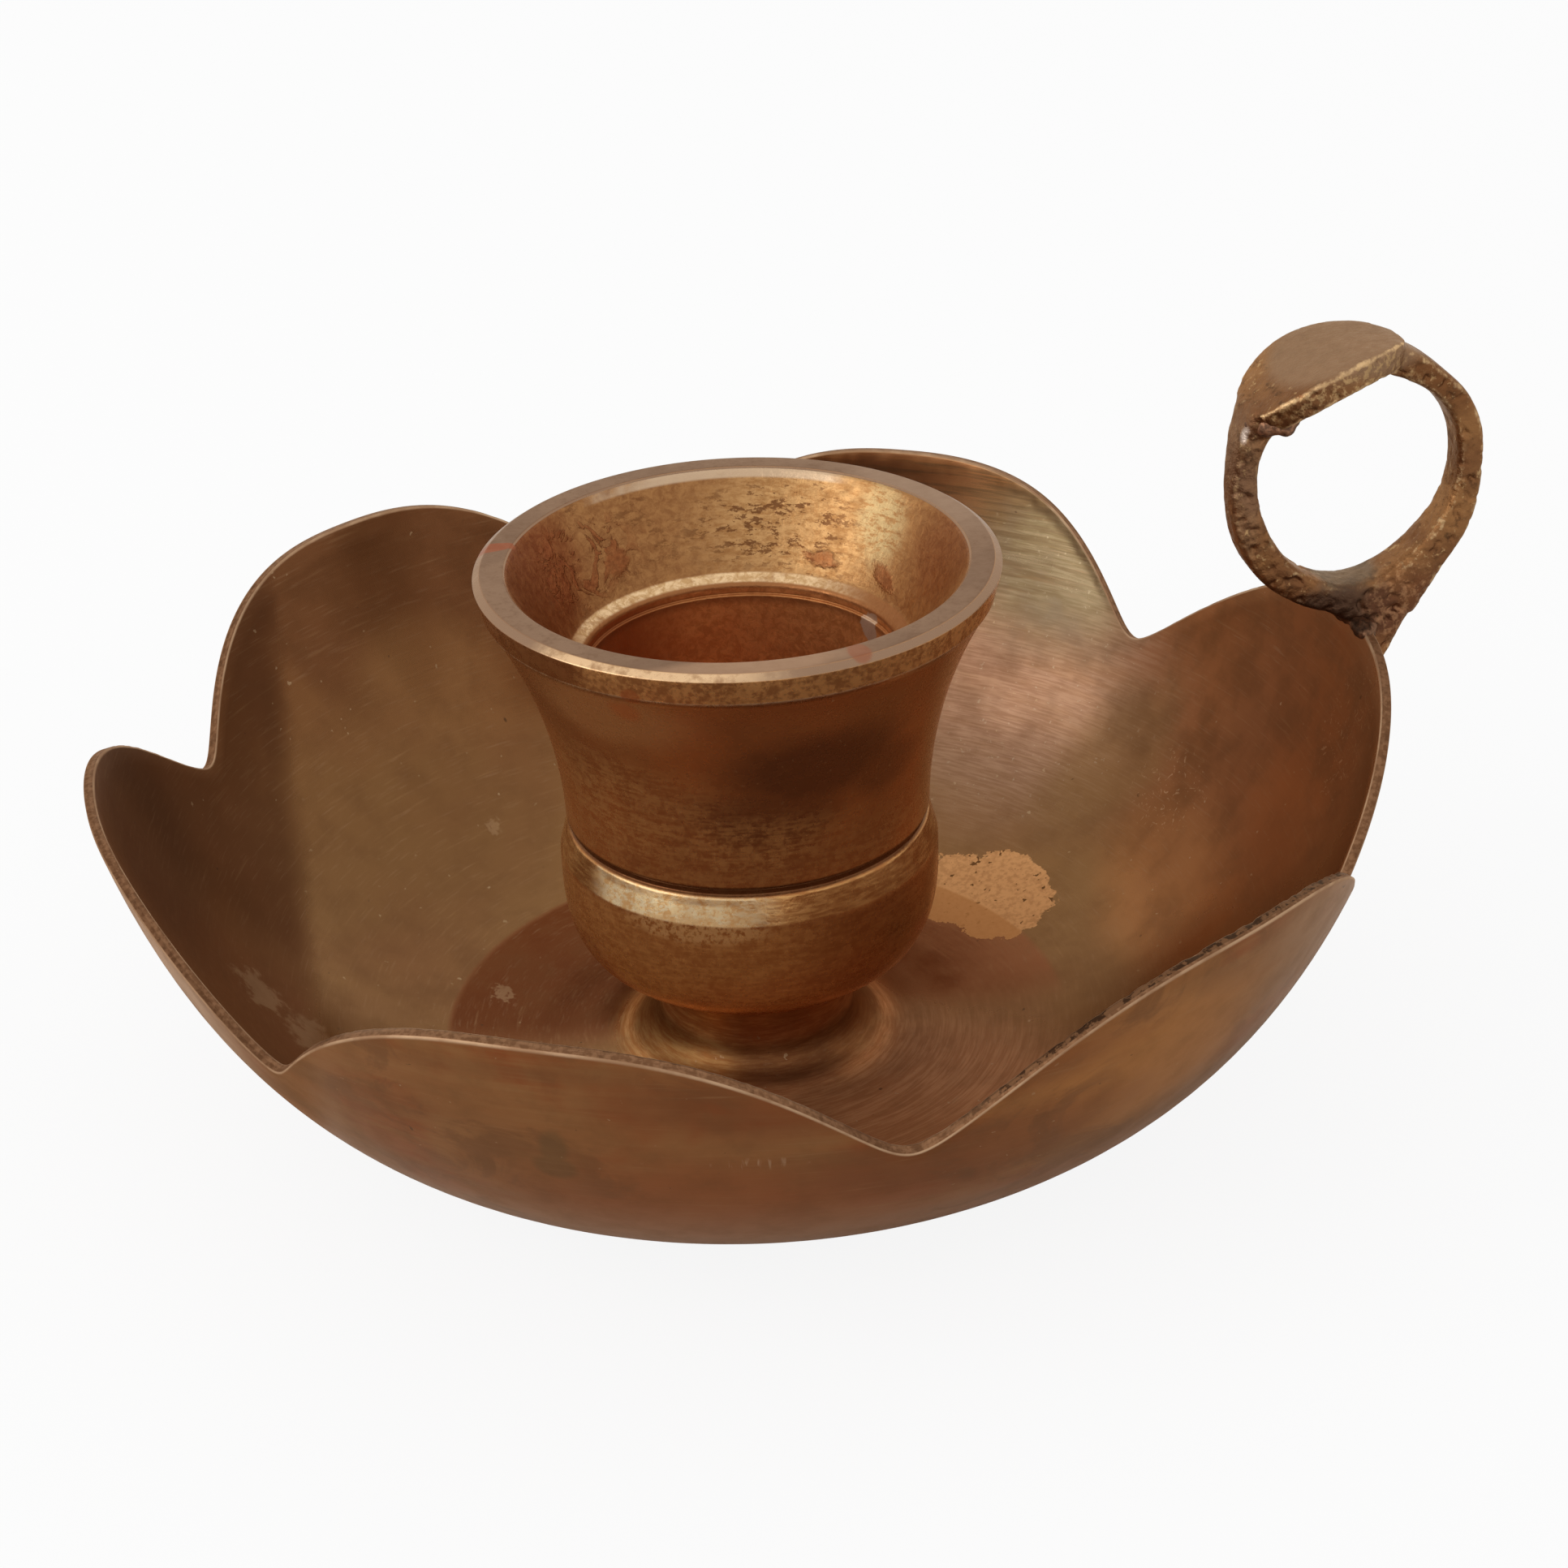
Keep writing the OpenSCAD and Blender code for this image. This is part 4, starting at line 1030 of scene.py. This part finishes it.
    # Painted highlight along the back of the inner edge
    inner_edge_highlight = f.all_of(f.spot((4, 15.5, 40.2), (11, 4, 1.4), 0.5, 1, 350), inner, f.ramp(f.height, 39.9 * MM, 40.1 * MM))
    body = f.blend(f.part(0.85, inner_edge_highlight), body, tint(0.6, 0.43, 0.28))
    shelf = f.all_of(inner, f.ramp(f.height, 32.9 * MM, 33 * MM), f.ramp(f.height, 33.9 * MM, 33.75 * MM))
    body = f.blend(shelf, body, tint(0.32, 0.13, 0.046))
    ledge = f.all_of(shelf, f.ramp(f.height, 33.3 * MM, 33.45 * MM), f.ramp(mottle, 0.3, 0.5, 0.5, 1), f.beyond((9, 6, 33), (-1, 0.3, 0), 6), f.beyond((-10.5, 4, 33), (1, 0.6, 0), 4))
    body = f.blend(ledge, body, f.blend(f.ramp(scratched, 0.4, 0.6), tint(0.6, 0.36, 0.16), tint(0.88, 0.62, 0.35)))
    bore = f.all_of(inner, f.ramp(f.height, 13 * MM, 14 * MM), f.ramp(f.height, 33.1 * MM, 32.9 * MM))
    body = f.blend(bore, body, f.blend(f.ramp(scratched, 0.4, 0.6), tint(0.6, 0.24, 0.075), tint(0.78, 0.34, 0.115)))
    body = f.blend(f.all_of(bore, f.beyond((-3.5, 9, 30), (-1, 0, 0), 8)), body, tint(0.38, 0.115, 0.035))
    step = f.all_of(bore, f.ramp(f.height, 31.6 * MM, 32.35 * MM), f.ramp(f.height, 32.75 * MM, 32.55 * MM))
    body = f.blend(f.part(0.6, step), body, tint(0.2, 0.07, 0.024))

    # Wax: red on the lip and the band, one pale crumb in the bore
    wax = f.any_of(
        f.spot((-16.9, 7.4, 40.7), (2.2, 0.75, 1), 0.15, 0.35),
        f.part(0.6, f.spot((4.3, -17.4, 40.7), (0.8, 1.2, 1), 0.3, 0.8)),
    )
    body = f.blend(f.part(0.85, wax), body, tint(0.3, 0.075, 0.03))
    drop = f.any_of(f.spot((-11.1, -14.9, 38.4), (0.7, 0.8, 0.7), 0.4, 0.6), f.spot((-11.6, -13.8, 36.6), (1.2, 1.2, 1), 0.8, 0.8))
    body = f.blend(f.part(0.6, drop), body, tint(0.6, 0.18, 0.055))
    body = f.blend(f.spot((10.6, 3.6, 32), (1, 1, 1.2), 0.15, 1.2, 900), body, tint(0.62, 0.44, 0.3))
    rough = f.ramp(mottle, 0.3, 0.7, 0.2, 0.34)
    rough = f.math("ADD", rough, f.part(0.15, flat))
    rough = f.math("ADD", rough, f.part(0.08, inner))
    dents = f.bump(speckled, 0.03 * MM, f.bump(f.all_of(inner, scratched), 0.05 * MM))
    normal = f.bump(f.all_of(inner, soaked), 0.06 * MM, f.bump(lines, 0.005 * MM, dents))
    return f.done(body, rough, normal, f.math("SUBTRACT", 0.72, f.part(0.3, bead_highlight)))


def cast_brass():
    """Golden brown cast brass of the ring, with dirt in its skin, wear and painted highlights on its arrises, a painted
    glint and a painted reflection.
    """
    f = Finish("ring_brass")
    tone = f.noise(180, 4, 0.6)
    grain = f.noise(1100, 5, 0.7)
    crumbs = f.noise(1900, 3, 0.65)
    colour = f.blend(f.ramp(tone, 0.35, 0.65), tint(0.3, 0.14, 0.052), tint(0.18, 0.076, 0.031))
    # Painted reflection, lighter and greyer, on the left limb
    limb_reflection = f.spot((37.2, -1, 41), (2.4, 4, 6.5), 0.7, 0.4)
    colour = f.blend(f.part(0.3, limb_reflection), colour, tint(0.3, 0.19, 0.12))
    shoulder = f.spot((52.6, -0.5, 48), (3.8, 3.4, 3.8), 0.6, 0.4)
    colour = f.blend(f.part(0.8, shoulder), colour, tint(0.17, 0.068, 0.025))
    colour = f.blend(f.ramp(grain, 0.52, 0.7, 0, 0.7), colour, tint(0.075, 0.036, 0.018))
    colour = f.blend(f.ramp(crumbs, 0.6, 0.7, 0, 0.7), colour, tint(0.5, 0.31, 0.14))
    plate = f.spot((45, 0, 53), (9, 6, 4.5), 0.25)
    top = f.blend(f.ramp(tone, 0.3, 0.7), tint(0.25, 0.15, 0.085), tint(0.3, 0.175, 0.095))
    colour = f.blend(f.part(0.85, plate), colour, f.blend(f.ramp(crumbs, 0.66, 0.74, 0, 0.5), top, tint(0.12, 0.065, 0.035)))
    ragged = f.math("MULTIPLY", f.math("SUBTRACT", grain, 0.5), 0.15)
    # Arrises: wear with painted highlights
    wear_and_highlight = f.ramp(f.math("ADD", f.attribute("wear"), ragged), 0.035, 0.085)
    colour = f.blend(f.part(0.9, wear_and_highlight), colour, tint(0.74, 0.49, 0.25))
    grey = f.spot((46.5, 0.5, 32.2), (4.4, 2.2, 1), 0.6, 0.6, 500)
    colour = f.blend(f.part(0.6, grey), colour, tint(0.15, 0.13, 0.095))
    soot = f.any_of(f.spot((46.4, -1.6, 30.8), (4.2, 2, 1.6), 0.7, 1.2, 500), f.spot((48, 0, 29.4), (4, 4, 1.4), 0.7, 1, 500))
    colour = f.blend(f.part(0.8, soot), colour, tint(0.07, 0.04, 0.027))
    ruddy = f.spot((51, -1.8, 30), (3, 2.4, 3.2), 0.7, 0.8, 500)
    colour = f.blend(f.part(0.6, ruddy), colour, f.blend(f.ramp(crumbs, 0.45, 0.6), tint(0.13, 0.045, 0.02), tint(0.34, 0.16, 0.075)))
    # Painted glint on the near side by the braze lump
    bead = f.spot((37.5, -1.9, 45.8), (0.6, 1, 1), 0.5, 0.3)
    colour = f.blend(f.part(0.85, bead), colour, tint(0.8, 0.68, 0.58))
    # Painted highlight in light speckles on the plate's near side
    near = f.all_of(f.spot((44.5, -4, 48.6), (9, 3.4, 3.6), 0.3), f.ramp(f.attribute("sideways"), 0.55, 0.8))
    colour = f.blend(f.all_of(near, f.ramp(crumbs, 0.48, 0.6, 0, 0.7)), colour, tint(0.5, 0.31, 0.14))
    # Painted highlight with wear along an arris on the outer side
    line = f.all_of(f.spot((52, -1.6, 38), (4, 1.6, 8), 0.3), f.ramp(f.math("ADD", f.attribute("wear"), ragged), 0.03, 0.06))
    colour = f.blend(f.part(0.7, line), colour, tint(0.62, 0.4, 0.2))
    rough = f.ramp(grain, 0.3, 0.7, 0.28, 0.5)
    normal = f.bump(crumbs, 0.07 * MM, f.bump(grain, 0.12 * MM))
    return f.done(colour, rough, normal, 0.85)


def braze_metal(name, brightness):
    """Dark, crusted braze with a few bright places."""
    f = Finish(name)
    crust = f.noise(900, 5, 0.7)
    dark, light = (Vector((0.05, 0.026, 0.016)) * brightness, Vector((0.2, 0.1, 0.055)) * brightness)
    colour = f.blend(f.ramp(crust, 0.4, 0.62), tint(*dark), tint(*light))
    colour = f.blend(f.ramp(crust, 0.64, 0.72), colour, tint(0.4, 0.27, 0.18))
    rough = f.ramp(crust, 0.3, 0.7, 0.5, 0.35)
    return f.done(colour, rough, f.bump(crust, 0.06 * MM), 0.8)


def screw_brass(name, brightness):
    """Dull brass of the screw and its washer, with turning marks and dirt."""
    f = Finish(name)
    f.round_axis()
    lines = f.streaks(4000, 4, 2, 0.6)
    dirt = f.noise(500, 4, 0.65)
    colour = f.blend(f.ramp(dirt, 0.35, 0.7), tint(0.42 * brightness, 0.25 * brightness, 0.1 * brightness), tint(0.14, 0.075, 0.035))
    rough = f.ramp(dirt, 0.3, 0.7, 0.28, 0.45)
    return f.done(colour, rough, f.bump(lines, 0.008 * MM), 0.75)


# Stage


def make_stage():
    world = bpy.data.worlds.new("studio")
    bpy.context.scene.world = world
    world.use_nodes = True
    nodes, links = world.node_tree.nodes, world.node_tree.links
    nodes.clear()
    path = nodes.new("ShaderNodeLightPath")
    mirrored, seen = nodes.new("ShaderNodeMath"), nodes.new("ShaderNodeMath")
    mirrored.operation = seen.operation = "MAXIMUM"
    links.new(path.outputs["Is Glossy Ray"], mirrored.inputs[0])
    links.new(path.outputs["Is Transmission Ray"], mirrored.inputs[1])
    links.new(path.outputs["Is Camera Ray"], seen.inputs[0])
    links.new(mirrored.outputs[0], seen.inputs[1])
    light, white = nodes.new("ShaderNodeBackground"), nodes.new("ShaderNodeBackground")
    light.inputs["Color"].default_value = (1, 1, 1, 1)
    light.inputs["Strength"].default_value = 0.8
    white.inputs["Color"].default_value = (1, 1, 1, 1)
    mix = nodes.new("ShaderNodeMixShader")
    out = nodes.new("ShaderNodeOutputWorld")
    links.new(seen.outputs[0], mix.inputs[0])
    links.new(light.outputs[0], mix.inputs[1])
    links.new(white.outputs[0], mix.inputs[2])
    links.new(mix.outputs[0], out.inputs["Surface"])

    bm = bmesh.new()
    bmesh.ops.create_grid(bm, x_segments=1, y_segments=1, size=3)
    mesh = bpy.data.meshes.new("floor")
    bm.to_mesh(mesh)
    bm.free()
    floor = bpy.data.objects.new("floor", mesh)
    bpy.context.scene.collection.objects.link(floor)
    paper = bpy.data.materials.new("floor_paper")
    paper.use_nodes = True
    nodes, links = paper.node_tree.nodes, paper.node_tree.links
    nodes.clear()
    path = nodes.new("ShaderNodeLightPath")
    seen = nodes.new("ShaderNodeMath")
    seen.operation = "MULTIPLY"
    links.new(path.outputs["Is Camera Ray"], seen.inputs[0])
    seen.inputs[1].default_value = 0.89
    matt, white = nodes.new("ShaderNodeBsdfDiffuse"), nodes.new("ShaderNodeEmission")
    matt.inputs["Color"].default_value = (0.85, 0.85, 0.85, 1)
    mix = nodes.new("ShaderNodeMixShader")
    out = nodes.new("ShaderNodeOutputMaterial")
    links.new(seen.outputs[0], mix.inputs[0])
    links.new(matt.outputs[0], mix.inputs[1])
    links.new(white.outputs[0], mix.inputs[2])
    links.new(mix.outputs[0], out.inputs["Surface"])
    mesh.materials.append(paper)


def softbox(name, place, size, power):
    lamp = bpy.data.lights.new(name, "AREA")
    lamp.shape, lamp.size, lamp.energy = "DISK", size, power
    box = bpy.data.objects.new(name, lamp)
    box.location = place
    box.rotation_mode = "QUATERNION"
    box.rotation_quaternion = (Vector((0, 0, 0.02)) - Vector(place)).to_track_quat("-Z", "Y")
    bpy.context.scene.collection.objects.link(box)


make_camera()
make_stage()
softbox("key", (-0.8, -0.15, 0.45), 0.7, 2.4)
make_pan(sheet_brass())
make_cup(turned_brass())
make_ring(cast_brass())
make_rim_braze(braze_metal("rim_braze_crust", 1))
make_ring_braze(braze_metal("ring_braze_skin", 2.4))
make_screw(screw_brass("screw_brass", 1))
make_washer(screw_brass("washer_brass", 0.8))

bpy.context.scene.view_settings.view_transform = "Standard"
